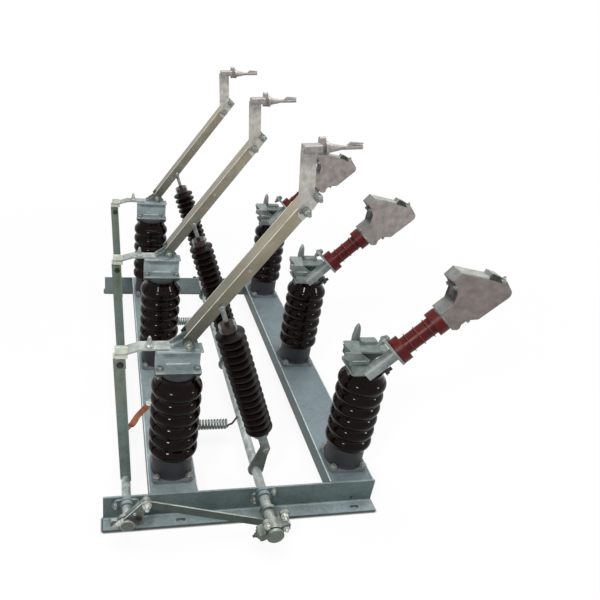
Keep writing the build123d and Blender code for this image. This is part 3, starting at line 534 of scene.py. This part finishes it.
# The bracket is painted light on its web as painted light; its up-facing faces are painted darker, and its
# cheeks near the hinge darker still, as painted shade. Below the cap's top it takes the cap's dark paint.
bracket_zinc = weathered_and_shaded("bracket_zinc", (0.42, 0.49, 0.50), spread=0.25, metal=0.2, rough=(0.36, 0.55),
                         grain=0.05, bump=0.3, crystals=0.010,
                         layers=[(*top_light_and_shade, (0.33, 0.38, 0.385)),
                                 ("height", cap_top + 0.0006, cap_top + 0.0003, cap_iron),
                                 ("height", hinge.z - 0.026, hinge.z - 0.016, (0.15, 0.185, 0.185))])
tinned = weathered_and_shaded("tinned_bar", (0.35, 0.375, 0.35), spread=0.45, metal=0.35, rough=(0.28, 0.46),
                   grain=0.035, pits=0.002)
contact_tin = weathered_and_shaded("contact_tin", (0.72, 0.74, 0.62), spread=0.25, metal=0.3, rough=(0.3, 0.5),
                        grain=0.03, bump=0.3)
# A bright zinc for painted highlight lines, and for the strap's bolts.
highlight_and_bolt_zinc = weathered_and_shaded("highlight_and_bolt_zinc", (0.66, 0.74, 0.75), spread=0.2, metal=0.4, rough=(0.25, 0.4),
                      grain=0.03)


def prism(name, body, skin, corners, way, edge):
    """A flat plate with eased edges: its outline in space and the way through it."""
    form = bmesh.new()
    near = [form.verts.new(corner) for corner in corners]
    far = [form.verts.new(Vector(corner) + Vector(way)) for corner in corners]
    form.faces.new(near)
    form.faces.new(far[::-1])
    for index in range(len(corners)):
        after = (index + 1) % len(corners)
        form.faces.new((near[index], far[index], far[after], near[after]))
    bmesh.ops.recalc_face_normals(form, faces=form.faces)
    bmesh.ops.bevel(form, geom=form.edges[:], offset=edge, segments=2, affect="EDGES")
    return shaped(form, name, body, skin)


def block(name, body, skin, origin, outline, depths, edge=0.002):
    """A plate that stands along X and Z, its outline given from an origin, between two depths."""
    start, end = depths
    corners = [(origin[0] + x, start, origin[1] + z) for x, z in outline]
    return prism(name, body, skin, corners, (0, end - start, 0), edge)


def oblong(left, bottom, right, top):
    """The outline of an upright rectangle."""
    return [(left, bottom), (right, bottom), (right, top), (left, top)]


cap_bolts = []
cap_nuts = []
for phase, y in phases.items():
    wear(f"hinge_bracket_{phase}", bracket_zinc)
    wear(f"terminal_{phase}", tinned)
    for side, rise in (("left", bracket_foot), ("right", 0.0)):
        for way in (-1, 1):
            x = posts[side, phase].x + way * cap_lug
            cap_bolts.append(((x, y - cap_setback, cap_top + rise), upward))
            cap_nuts.append(((x, y - cap_setback, cap_top - cap_plate), -upward))
bolts("cap_bolts", "base", plated, cap_bolts, across=0.023, height=0.008, thread=0.001)
bolts("cap_nuts", "base", plated, cap_nuts, across=0.023, height=0.009, thread=0.008)

contact_gap = 0.0015
contact_margin = 0.030
plate_edge = 0.0008
tab_outline = ((-0.006, -0.004), (0.004, 0.002), (0.004, 0.024), (-0.006, 0.020))
terminal_bolts = []
for phase, y in phases.items():
    low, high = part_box(f"terminal_{phase}")
    post_x = posts["left", phase].x
    web = y + web_offset
    # Bright wires along the web's lower bend and the top plate's edge are painted highlights.
    wire(f"bracket_bend_{phase}", "base", highlight_and_bolt_zinc,
         [(post_x + out, web - bend_inset, cap_top + bend_rise) for out in bend_span], bend_radius)
    wire(f"bracket_edge_{phase}", "base", highlight_and_bolt_zinc,
         [(post_x + out, web, low.z - fold_radius) for out in fold_span], fold_radius)
    blade_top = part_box(f"earth_blade_{phase}")[1].z
    contact_outline = oblong(0.001, contact_gap, 0.040, high.z - contact_margin - blade_top)
    block(f"earth_contact_{phase}", "base", contact_tin, (low.x, blade_top),
          contact_outline, depths=(low.y + 0.001, low.y + 0.006), edge=plate_edge)
    block(f"earth_tab_{phase}", "base", contact_tin, (low.x, blade_top), tab_outline,
          depths=(low.y + 0.010, low.y + 0.014), edge=plate_edge)
    for way in (-1, 1):
        spot = (high.x + terminal_reach, y + way * terminal_half, cap_top + terminal_rise)
        terminal_bolts.append((spot, upward))
bolts("terminal_bolts", "base", plated, terminal_bolts, across=0.015, height=0.006,
      washer=0.0015, thread=0.002)

# ------------------------------------------------------------------ jaw castings
# Alloy castings on the right post caps, left as cast, with a steel bolt through the
# flange's lug, a gusset on the web and a short strut with its nut below the barrel.
# Up-facing faces are painted darker, and the gusset, the strut and a thin sheet in the
# mouth are painted dark, all as painted shade; a bright wire on the apron is a painted
# highlight.
breaker_tilt = math.radians(46)
along = Vector((math.cos(breaker_tilt), 0, math.sin(breaker_tilt)))
across = Vector((-math.sin(breaker_tilt), 0, math.cos(breaker_tilt)))
breaker_inset = (0.0321, 0.0309)
flange_lug = 0.074
flange_plate = 0.009
apron_offset = 0.0422
apron_drop = 0.0745
apron_span = (-0.075, -0.027)
gusset_outline = ((-0.040, -0.050), (0.058, -0.050), (0.034, -0.066), (-0.010, -0.100), (-0.040, -0.090))
strut_outline = ((0.036, 0.020), (0.030, -0.006), (0.050, -0.018), (0.060, 0.008))
strut_nut = Vector((0.056, -0.042, -0.008))
strut_way = Vector((0.75, 0, 0.66))
mouth_shadow_corners = ((-0.108, -0.004, -0.0238), (-0.088, -0.035, -0.0375), (-0.108, -0.035, -0.0375))
cast_alloy = weathered_and_shaded("cast_alloy", (0.255, 0.285, 0.275), spread=0.4, metal=0.3, rough=(0.34, 0.55),
                       grain=0.03, bump=0.55, pits=0.0016,
                       layers=[(*top_light_and_shade, (0.16, 0.19, 0.178)),
                               ("height", cap_top, cap_top - 0.001, cap_iron)])
cast_bolt = weathered_and_shaded("cast_bolts", (0.17, 0.185, 0.175), spread=0.5, metal=0.3, rough=(0.35, 0.55),
                      grain=0.012)
shadow_alloy = weathered_and_shaded("painted_shadow_alloy", (0.045, 0.055, 0.05), spread=0.4, metal=0.2, rough=(0.4, 0.6),
                         grain=0.03, bump=0.5)


def breaker_foot(phase):
    """The point where the interrupter's axis leaves the jaw's flange."""
    low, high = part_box(f"interrupter_{phase}")
    return Vector((low.x + breaker_inset[0], (low.y + high.y) / 2, low.z + breaker_inset[1]))


flange_bolts = []
flange_nuts = []
for phase, y in phases.items():
    wear(f"jaw_{phase}", cast_alloy)
    lug = breaker_foot(phase) + across * flange_lug
    flange_bolts.append((lug, along))
    flange_nuts.append((lug - along * flange_plate, -along))
    post_x = posts["right", phase].x
    # Gusset, strut and the mouth's thin sheet carry painted shade; the wire on the apron is a painted
    # highlight.
    block(f"jaw_gusset_{phase}", "base", shadow_alloy, (post_x, hinge.z), gusset_outline,
          depths=(y - 0.024, y - 0.017), edge=0.001)
    block(f"jaw_strut_{phase}", "base", shadow_alloy, (post_x, cap_top), strut_outline,
          depths=(y - 0.046, y - 0.038))
    bolts(f"jaw_strut_nut_{phase}", "base", dark_steel,
          [(Vector((post_x, y, cap_top)) + strut_nut, strut_way)], across=0.025, height=0.012,
          washer=0.003, thread=0.014)
    wire(f"jaw_glint_{phase}", "base", highlight_and_bolt_zinc,
         [(post_x + out, y - apron_offset, hinge.z - apron_drop) for out in apron_span], radius=0.0014)
    mouth = [(post_x + x, y + depth, hinge.z + z) for x, depth, z in mouth_shadow_corners]
    prism(f"jaw_mouth_shadow_{phase}", "base", shadow_alloy, mouth, way=(0, -0.0004, 0.0009),
          edge=0.0002)
bolts("flange_bolts", "base", cast_bolt, flange_bolts, across=0.024, height=0.009,
      washer=0.003, thread=0.003)
bolts("flange_nuts", "base", cast_bolt, flange_nuts, across=0.021, height=0.009,
      washer=0.002, thread=0.010)

# ------------------------------------------------------------------ interrupters
# Turned bodies of dark red polymer with a slight moulding sheen. Three rings on each are
# marked by a painted highlight along the rim and painted shade at the root.
ring_count = 3
first_ring = 0.054
ring_pitch = 0.038
ring_radius = 0.0352
tube_radius = 0.0306
root_setback = 0.0022
red = weathered_and_shaded("red_polymer", (0.092, 0.005, 0.0045), spread=0.3, metal=0.0, rough=(0.3, 0.46),
                grain=0.04, bump=0.12, pits=0.003, gloss=0.2)
rim_highlight_red = weathered_and_shaded("painted_rim_highlight", (0.34, 0.055, 0.045), spread=0.3, metal=0.0, rough=(0.25, 0.4),
                       grain=0.02, gloss=0.4)
shaded_red = weathered_and_shaded("painted_root_shade", (0.018, 0.002, 0.002), spread=0.3, metal=0.0, rough=(0.5, 0.7),
                       grain=0.02, gloss=0.1)


def ring_line(centre, right, rise, radius, steps=40):
    """The points of a closed ring about a centre, in the plane of two directions."""
    turns = [2 * math.pi * step / steps for step in range(steps + 1)]
    return [centre + (right * math.cos(turn) + rise * math.sin(turn)) * radius for turn in turns]


for phase in phases:
    wear(f"interrupter_{phase}", red)
    for index in range(ring_count):
        spot = breaker_foot(phase) + along * (first_ring + index * ring_pitch)
        rim = ring_line(spot, across, -frontward, ring_radius)
        root = ring_line(spot - along * root_setback, across, -frontward, tube_radius)
        wire(f"ring_edge_{phase}_{index}", "base", rim_highlight_red, rim, radius=0.0009)
        wire(f"ring_root_{phase}_{index}", "base", shaded_red, root, radius=0.0011)

# ------------------------------------------------------------------ mechanism heads
# Flat alloy housings over the interrupter drive, sand cast. The broad faces are matt and
# warm grey, painted lighter on the mid and rear heads as painted light. The upper edges
# are painted lighter as painted light, and painted shade darkens the mouth of the notch.
catch_outline = ((-0.100, -0.020), (-0.088, -0.002), (-0.062, -0.014), (-0.050, -0.034))
seal_radius = 0.0415
seal_bead = 0.0022
notch_bolts = ((0.0318, 0.0124, 0.1565), (0.0345, 0.0590, 0.1495))
lower_bolt = (0.1125, 0.018, 0.0405)
neck_inset = (0.0298, 0.0288)
notch_inset = (0.020, 0.140)
# The mid and rear heads' broad faces are painted lighter than the front one's as painted light.
warm_grey = {"front": (0.26, 0.22, 0.20), "mid": (0.37, 0.325, 0.30), "rear": (0.35, 0.305, 0.285)}
head_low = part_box("head_front")[0]
notch = Vector((head_low.x + notch_inset[0], 0, head_low.z + notch_inset[1]))
head_bolts = []
for phase, broad in warm_grey.items():
    sand_cast = weathered_and_shaded(f"sand_cast_{phase}", (0.21, 0.212, 0.193), spread=0.35, metal=0.15,
                          rough=(0.5, 0.7), grain=0.03, bump=0.6, pits=0.0014,
                          layers=[("up", 0.8, 0.95, (0.33, 0.34, 0.315)),
                                  (notch, 0.046, 0.034, (0.05, 0.052, 0.05)), ("side", 0.7, 0.95, broad)])
    wear(f"head_{phase}", sand_cast)
    low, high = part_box(f"head_{phase}")
    for offset in notch_bolts:
        head_bolts.append((low + Vector(offset), (-1, 0, 0.3)))
    head_bolts.append((low + Vector(lower_bolt), (0.2, 0, -1)))
    head_bolts.append(((high.x - 0.040, low.y + 0.024, high.z - 0.0275), (0.2, 0, 1)))
    block(f"head_catch_{phase}", "base", dark_steel, (high.x, high.z), catch_outline,
          depths=(low.y + 0.010, low.y + 0.018), edge=0.001)
    neck = Vector((low.x + neck_inset[0], (low.y + high.y) / 2, low.z + neck_inset[1]))
    wire(f"head_seal_{phase}", "base", dark_steel,
         ring_line(neck, across, -frontward, seal_radius, steps=32), seal_bead)
bolts("head_bolts", "base", plated, head_bolts, across=0.014, height=0.007, washer=0.0015)

# ------------------------------------------------------------------ main blades and arms
# Pressed alloy channels with a yellowish passivation towards their ends. Bright lines
# along their folds are painted highlights, and the front blade is painted darker than
# the mid and rear ones as painted shade. The arm bolts to the near side with stacked
# nuts and carries the clamp block and the tapered finger.
blade_half = 0.030
arm_plate = 0.008
crease_span = (0.008, 0.545)
crease_rise = 0.0215
crease_inset = 0.0005
yellow_rise = 0.42
rod_pin = (0.162, -0.007)
arm_bolts = ((0.554, 0.002), (0.606, 0.006))
arm_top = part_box("arm_front")[1].z
arm_zinc = weathered_and_shaded("arm_zinc", (0.50, 0.48, 0.44), spread=0.3, metal=0.5, rough=(0.34, 0.5), grain=0.02,
                     bump=0.3, layers=[("height", arm_top - 0.090, arm_top - 0.050, (0.30, 0.28, 0.265))])
fold_highlight_alloy = weathered_and_shaded("fold_highlight_alloy", (0.62, 0.585, 0.49), spread=0.3, metal=0.5, rough=(0.3, 0.45),
                       grain=0.05)


def on_blade(out, rise, y):
    """A point given along and above the blade, with the blade open."""
    return Vector((hinge.x + out * math.cos(open_turn) - rise * math.sin(open_turn), y,
                   hinge.z + out * math.sin(open_turn) + rise * math.cos(open_turn)))


def blade_side(spots, y, way, plate=0.0):
    """Bolt places on one side of a blade, or on a plate that lies there."""
    return [(on_blade(*spot, y + way * (blade_half + plate)), (0, way, 0)) for spot in spots]


# The front blade's colour is painted darker than the mid and rear ones as painted shade.
for phase, lower in (("front", (0.066, 0.068, 0.056)), ("mid", (0.15, 0.155, 0.135)),
                     ("rear", (0.15, 0.155, 0.135))):
    body = f"blade_{phase}"
    y = phases[phase]
    drawn = weathered_and_shaded(f"drawn_alloy_{phase}", lower, spread=0.25, metal=0.55, rough=(0.30, 0.46),
                      grain=0.08, bump=0.25, pits=0.0012,
                      layers=[("height", hinge.z, hinge.z + yellow_rise, (0.32, 0.285, 0.21))])
    wear(f"blade_{phase}", drawn)
    wear(f"arm_{phase}", arm_zinc)
    bolts(f"pivot_nuts_{phase}", body, plated,
          blade_side([(0, 0)], y, -1) + blade_side([(0, 0)], y, 1), across=0.022, height=0.010,
          washer=0.003, thread=0.010, stack=2)
    bolts(f"rod_pin_nuts_{phase}", body, plated,
          blade_side([rod_pin], y, -1) + blade_side([rod_pin], y, 1), across=0.020, height=0.008,
          washer=0.002, thread=0.006)
    bolts(f"arm_nuts_{phase}", body, plated, blade_side(arm_bolts, y, -1, arm_plate),
          across=0.022, height=0.012, washer=0.003, thread=0.014, stack=2)
    for side, way in (("near", -1), ("far", 1)):
        crease = y + way * (blade_half - crease_inset)
        wire(f"blade_fold_{side}_{phase}", body, fold_highlight_alloy,
             [on_blade(out, crease_rise, crease) for out in crease_span], radius=0.0013)
    bolts(f"arm_heads_{phase}", body, plated, blade_side(arm_bolts, y, 1),
          across=0.022, height=0.009, thread=0.0005)
    screws = blade_side([(0.311, 0.004)], y, -1) + blade_side([(0.544, 0.012)], y, -1, arm_plate)
    bolts(f"blade_screws_{phase}", body, plated, screws, across=0.013, height=0.004,
          washer=0.0015, thread=0.001)

# ------------------------------------------------------------------ operating rods
# Insulating rods with dark brown sheds moulded on a glass core and crimped steel ends.
# The lower fork straddles the shaft's lever on one bolt.
eye_inset = 0.017
fork_half = 0.0116
ferrule_reach = 0.092
low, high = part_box("rod_front")
rod_eye = Vector((high.x - eye_inset, 0, low.z + eye_inset))
rod_top = on_blade(*rod_pin, 0)
ferrule = rod_top + (rod_eye - rod_top).normalized() * ferrule_reach
shed_polymer = weathered_and_shaded("brown_polymer", (0.007, 0.0035, 0.003), spread=0.4, metal=0.0,
                         rough=(0.28, 0.42), grain=0.04, bump=0.15, pits=0.003, gloss=0.16)
bright_zinc = weathered_and_shaded("bright_zinc", (0.26, 0.285, 0.275), spread=0.35, metal=0.5, rough=(0.28, 0.45),
                        grain=0.03, layers=[(ferrule, 0.026, 0.022, (0.045, 0.036, 0.032))])
for phase, y in phases.items():
    wear(f"rod_insulator_{phase}", shed_polymer)
    wear(f"rod_{phase}", bright_zinc)
    fork = [((rod_eye.x, y + way * fork_half, rod_eye.z), (0, way, 0)) for way in (-1, 1)]
    bolts(f"fork_bolts_{phase}", f"rod_{phase}", plated, fork, across=0.024, height=0.010,
          washer=0.003, thread=0.008)

# ------------------------------------------------------------------ main shaft
# One plated tube through both beams, with a welded lever under each rod. At the front
# end a clamp of bolted lugs holds the interlock crank; the tube's end stands out of it.
# Up-facing faces of the shafts and the clamp are painted lighter as painted light, and the lighter nuts stand
# in for their highlights as painted highlights.
crown_light = ("up", 0.5, 0.95)
tube_end = ("side", 0.7, 0.9, (0.13, 0.15, 0.13))
tube_colour = (0.44, 0.48, 0.465)
rim_radius = 0.0275
rim_bead = 0.003
clamp_setback = 0.038
highlight_nut = weathered_and_shaded("painted_highlight_nuts", (0.50, 0.52, 0.48), spread=0.5, metal=0.6, rough=(0.22, 0.38),
                       grain=0.010, bump=0.15)
clamp_zinc = weathered_and_shaded("clamp_zinc", (0.11, 0.125, 0.105), spread=0.5, metal=0.4, rough=(0.3, 0.5),
                       grain=0.02, bump=0.3, layers=[("up", 0.3, 0.9, (0.40, 0.43, 0.39))])
main_zinc = weathered_and_shaded("main_shaft_zinc", (0.10, 0.12, 0.10), spread=0.45, metal=0.4, rough=(0.3, 0.5),
                      grain=0.035,
                      layers=[(*crown_light, (0.34, 0.37, 0.33)), (main_axis, 0.0186, 0.0182, tube_colour),
                              tube_end])
wear("main_shaft", main_zinc)
shaft_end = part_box("main_shaft")[0].y
clamp_long = Vector((math.cos(shaft_lean), 0, math.sin(shaft_lean)))
clamp_up = Vector((-math.sin(shaft_lean), 0, math.cos(shaft_lean)))
clamp_y = shaft_end + clamp_setback


def at_shaft(out, rise, y):
    """A point given across the clamp and square to it, at a depth."""
    return Vector((main_axis.x, y, main_axis.z)) + clamp_long * out + clamp_up * rise


octagon = ((-1, -0.5), (-0.5, -1), (0.5, -1), (1, -0.5), (1, 0.5), (0.5, 1), (-0.5, 1), (-1, 0.5))
lug_squash = 0.85
end_bolt_reach = 0.058
lug_faces = []
for name, out, rise, half, start, end in (
    ("left", -0.044, 0.0, 0.017, -0.015, 0.015),
    ("upper", -0.012, 0.026, 0.015, -0.004, 0.014),
    ("right", 0.042, -0.002, 0.018, -0.015, 0.015),
    ("rear", 0.054, 0.024, 0.017, 0.008, 0.022),
):
    corners = [at_shaft(out + a * half, rise + b * half * lug_squash, 0) for a, b in octagon]
    block(f"clamp_lug_{name}", "main_shaft", clamp_zinc, (0, 0),
          [(corner.x, corner.z) for corner in corners], depths=(clamp_y + start, clamp_y + end))
    # The left lug is bolted from its own end.
    if name != "left":
        lug_faces.append((at_shaft(out, rise, clamp_y + start), frontward))
bolts("clamp_faces", "main_shaft", highlight_nut, lug_faces, across=0.024, height=0.010,
      washer=0.003, thread=0.007)
bolts("clamp_ends", "main_shaft", dark_steel,
      [(at_shaft(-end_bolt_reach, 0, clamp_y), -clamp_long)], across=0.017, height=0.007, washer=0.003,
      thread=0.008)
wire("shaft_end_rim", "main_shaft", plated,
     ring_line(at_shaft(0, 0, shaft_end + rim_bead), clamp_long, clamp_up, rim_radius), rim_bead)

# ------------------------------------------------------------------ earthing switch
# A second tube carries three angle-section blades and, at its front end, a crank that is
# clamped on. A flat link ties this crank to the main shaft's.
pin_inset = 0.015
link_depth = 0.019
crank_depth = 0.0125
end_rim_radius = 0.0215
end_cap_radius = 0.021
earth_zinc = weathered_and_shaded("earth_blade_zinc", (0.18, 0.235, 0.21), spread=0.25, metal=0.2,
                       rough=(0.36, 0.55), grain=0.09, bump=0.3, crystals=0.010,
                       layers=[("height", 0.40, 0.46, (0.19, 0.225, 0.18))])
# The link's up-facing faces are painted much lighter than its dark upright faces, as painted light.
link_zinc = weathered_and_shaded("link_zinc", (0.052, 0.072, 0.058), spread=0.35, metal=0.25, rough=(0.36, 0.55),
                      grain=0.05, bump=0.3, layers=[(*top_light_and_shade, (0.42, 0.45, 0.40))])
earth_shaft_zinc = weathered_and_shaded("earth_shaft_zinc", (0.10, 0.12, 0.10), spread=0.5, metal=0.4,
                             rough=(0.3, 0.5), grain=0.03,
                             layers=[(*crown_light, (0.34, 0.37, 0.33)),
                                     (earth_axis, 0.0166, 0.0162, tube_colour), tube_end])
wear("earth_shaft", earth_shaft_zinc)
wear("interlock_link", link_zinc)
low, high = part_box("interlock_link")
crank_pin = Vector((low.x + pin_inset, low.y, high.z - pin_inset))
far_pin = Vector((high.x - pin_inset, low.y, low.z + pin_inset))
bolts("link_pin_nuts", "interlock_link", highlight_nut,
      [(crank_pin, frontward), (far_pin, frontward)], across=0.027, height=0.012, washer=0.003, thread=0.010)
crank_back = low.y + link_depth
bolts("crank_pin_head", "earth_shaft", plated,
      [((crank_pin.x, crank_back, crank_pin.z), -frontward)], across=0.025, height=0.010, washer=0.003,
      thread=0.002)

sleeve_rise = 0.024
sleeve_span = (-0.024, 0.006)
clamp_depth = Vector((0, 0.010, 0))
nut_spot = Vector((0.034, 0.010, 0.022))
tip_depth = 0.0145
crank_half = 0.022
tip_half = 0.0135
eyelet_reach = 0.046
eyelet_rise = 0.004
eyelet_radius = 0.0042
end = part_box("earth_shaft")[0].y
centre = Vector((earth_axis.x, end, earth_axis.z))
slant = Vector((0.78, 0, 0.62))
lift = Vector((-0.62, 0, 0.78))
sleeve = [centre + lift * sleeve_rise + slant * out + clamp_depth for out in sleeve_span]
wire("crank_sleeve", "earth_shaft", highlight_nut, sleeve, radius=0.0095)
bolts("crank_stud", "earth_shaft", plated, [(sleeve[0], -slant)], across=0.018,
      height=0.007, washer=0.003, thread=0.012)
bolts("crank_nut", "earth_shaft", dark_steel, [(centre + nut_spot, (0.1, 0, -1))],
      across=0.024, height=0.012, washer=0.004, thread=0.010)
tip = Vector((crank_pin.x, end + tip_depth, crank_pin.z))
arm = (tip - centre).normalized()
edge = Vector((-arm.z, 0, arm.x))


def on_crank(spot):
    """A point brought to the crank's near face."""
    return Vector((spot.x, crank_back - crank_depth, spot.z))


# A bright wire along the crank's edge is a painted highlight.
wire("crank_edge", "earth_shaft", highlight_and_bolt_zinc,
     [on_crank(centre + edge * crank_half), on_crank(tip + edge * tip_half)], radius=0.0016)
eyelet = on_crank(centre + arm * eyelet_reach + edge * eyelet_rise)
wire("crank_eyelet", "earth_shaft", highlight_and_bolt_zinc,
     ring_line(eyelet, rightward, upward, eyelet_radius, steps=20), radius=0.0011)
wire("earth_shaft_end_rim", "earth_shaft", plated,
     ring_line(centre + Vector((0, rim_bead, 0)), rightward, upward, end_rim_radius), rim_bead)
cap = ring_line(centre, rightward, upward, end_cap_radius, steps=28)[:-1]
block("earth_shaft_end_cap", "earth_shaft", clamp_zinc, (0, 0),
      [(corner.x, corner.z) for corner in cap], depths=(end - 0.001, end + 0.005), edge=0.0006)

blade_face = 0.011
ring_inset = 0.023
ring_drop = 0.030
rivet_inset = 0.024
rivet_drop = 0.070
rivet_pitch = 0.016
blade_rake = 0.056
rings = []
rivets = []
for phase in phases:
    wear(f"earth_blade_{phase}", earth_zinc)
    low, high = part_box(f"earth_blade_{phase}")
    face = low.y + blade_face
    rings.append(((low.x + ring_inset, face, high.z - ring_drop), frontward))
    for index in range(3):
        fall = index * rivet_pitch
        spot = (low.x + rivet_inset + fall * blade_rake, face, high.z - rivet_drop - fall)
        rivets.append((spot, frontward))
bolts("earth_blade_rings", "earth_shaft", dark_steel, rings, across=0.020, height=0.003,
      washer=0.002, thread=0.003)
bolts("earth_blade_rivets", "earth_shaft", earth_zinc, rivets, across=0.009,
      height=0.0018, washer=0.001, thread=0.0003)

# ------------------------------------------------------------------ earthing strap
# Braided copper ribbon with tinned lugs, bolted on the left channel and on a lug of
# the earthing shaft.
copper = weathered_and_shaded("copper_braid", (0.21, 0.075, 0.034), spread=0.5, metal=0.5, rough=(0.35, 0.6),
                   grain=0.012, bump=0.8, pits=0.0016)
wear("earth_strap", copper)
low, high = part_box("earth_strap")
block("strap_lug", "base", contact_tin, (high.x, high.z),
      oblong(-0.034, -0.0015, -0.004, 0.001), depths=(high.y - 0.036, high.y - 0.004), edge=0.0004)
channel_bolt = high + Vector((-0.0199, -0.0206, 0))
shaft_bolt = Vector((low.x + 0.0141, low.y + 0.0124, earth_axis.z + 0.0193))
strap_bolts = [(channel_bolt, upward), (shaft_bolt, upward)]
bolts("strap_bolts", "base", highlight_and_bolt_zinc, strap_bolts, across=0.020, height=0.008,
      washer=0.003, thread=0.006)

# ------------------------------------------------------------------ return springs
# Close-wound steel springs hooked to the left channel and to the main shaft.
coil_turns = 12.0
coil_radius = 0.0175
coil_wire = 0.0045
hook_wire = 0.0042
fixed_hook_length = 0.030
shaft_hook_length = 0.0435
spring_steel = weathered_and_shaded("spring_steel", (0.24, 0.27, 0.25), spread=0.45, metal=0.5, rough=(0.3, 0.5),
                         grain=0.02)


def coil_tree():
    """A smooth coil of round wire along X, from every point on."""
    tree, given = open_tree("coil_spring", {"Turns": 10.0, "Coil radius": 0.019, "Length": 0.14,
                                            "Wire radius": 0.0035})
    turn = add(tree, "GeometryNodeCurveSpiral", {
        "Resolution": 28, "Rotations": given["Turns"], "Start Radius": given["Coil radius"],
        "End Radius": given["Coil radius"], "Height": given["Length"]})
    lay = add(tree, "GeometryNodeTransform",
              {"Geometry": turn.outputs["Curve"], "Rotation": (0, math.radians(90), 0)})
    section = add(tree, "GeometryNodeCurvePrimitiveCircle",
                  {"Resolution": 10, "Radius": given["Wire radius"]})
    body = add(tree, "GeometryNodeCurveToMesh", {
        "Curve": lay.outputs["Geometry"], "Profile Curve": section.outputs["Curve"], "Fill Caps": True})
    smooth = add(tree, "GeometryNodeSetShadeSmooth", {"Geometry": body.outputs["Mesh"]})
    put = add(tree, "GeometryNodeInstanceOnPoints",
              {"Points": given["Points"], "Instance": smooth.outputs["Geometry"]})
    return close_tree(tree, given, put)


coils = coil_tree()
for side in ("front", "rear"):
    low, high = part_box(f"spring_{side}")
    middle = (low + high) / 2
    start = low.x + fixed_hook_length
    end = high.x - shaft_hook_length
    holder = grown(f"coil_{side}", coils, [(start, middle.y, middle.z)], [upward], {
        "Turns": coil_turns, "Coil radius": coil_radius, "Length": end - start, "Wire radius": coil_wire,
        "Finish": spring_steel})
    coil = settle(holder, f"coil_{side}", "base")
    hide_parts(f"spring_{side}")
    for name, line in (
        ("fixed_hook", ((start, 0, -0.017), (start - 0.006, 0, 0), (start - 0.014, 0, 0),
                        (low.x + 0.002, 0, 0))),
        ("shaft_hook", ((end, 0, -0.017), (end + 0.006, 0, -0.004), (end + 0.020, 0, -0.002),
                        (high.x - 0.012, 0.004, 0.016), (high.x - 0.001, 0.008, 0.030))),
    ):
        points = [(x, middle.y + depth, middle.z + rise) for x, depth, rise in line]
        wire(f"{name}_{side}", "base", dark_steel, points, hook_wire, smooth=True)
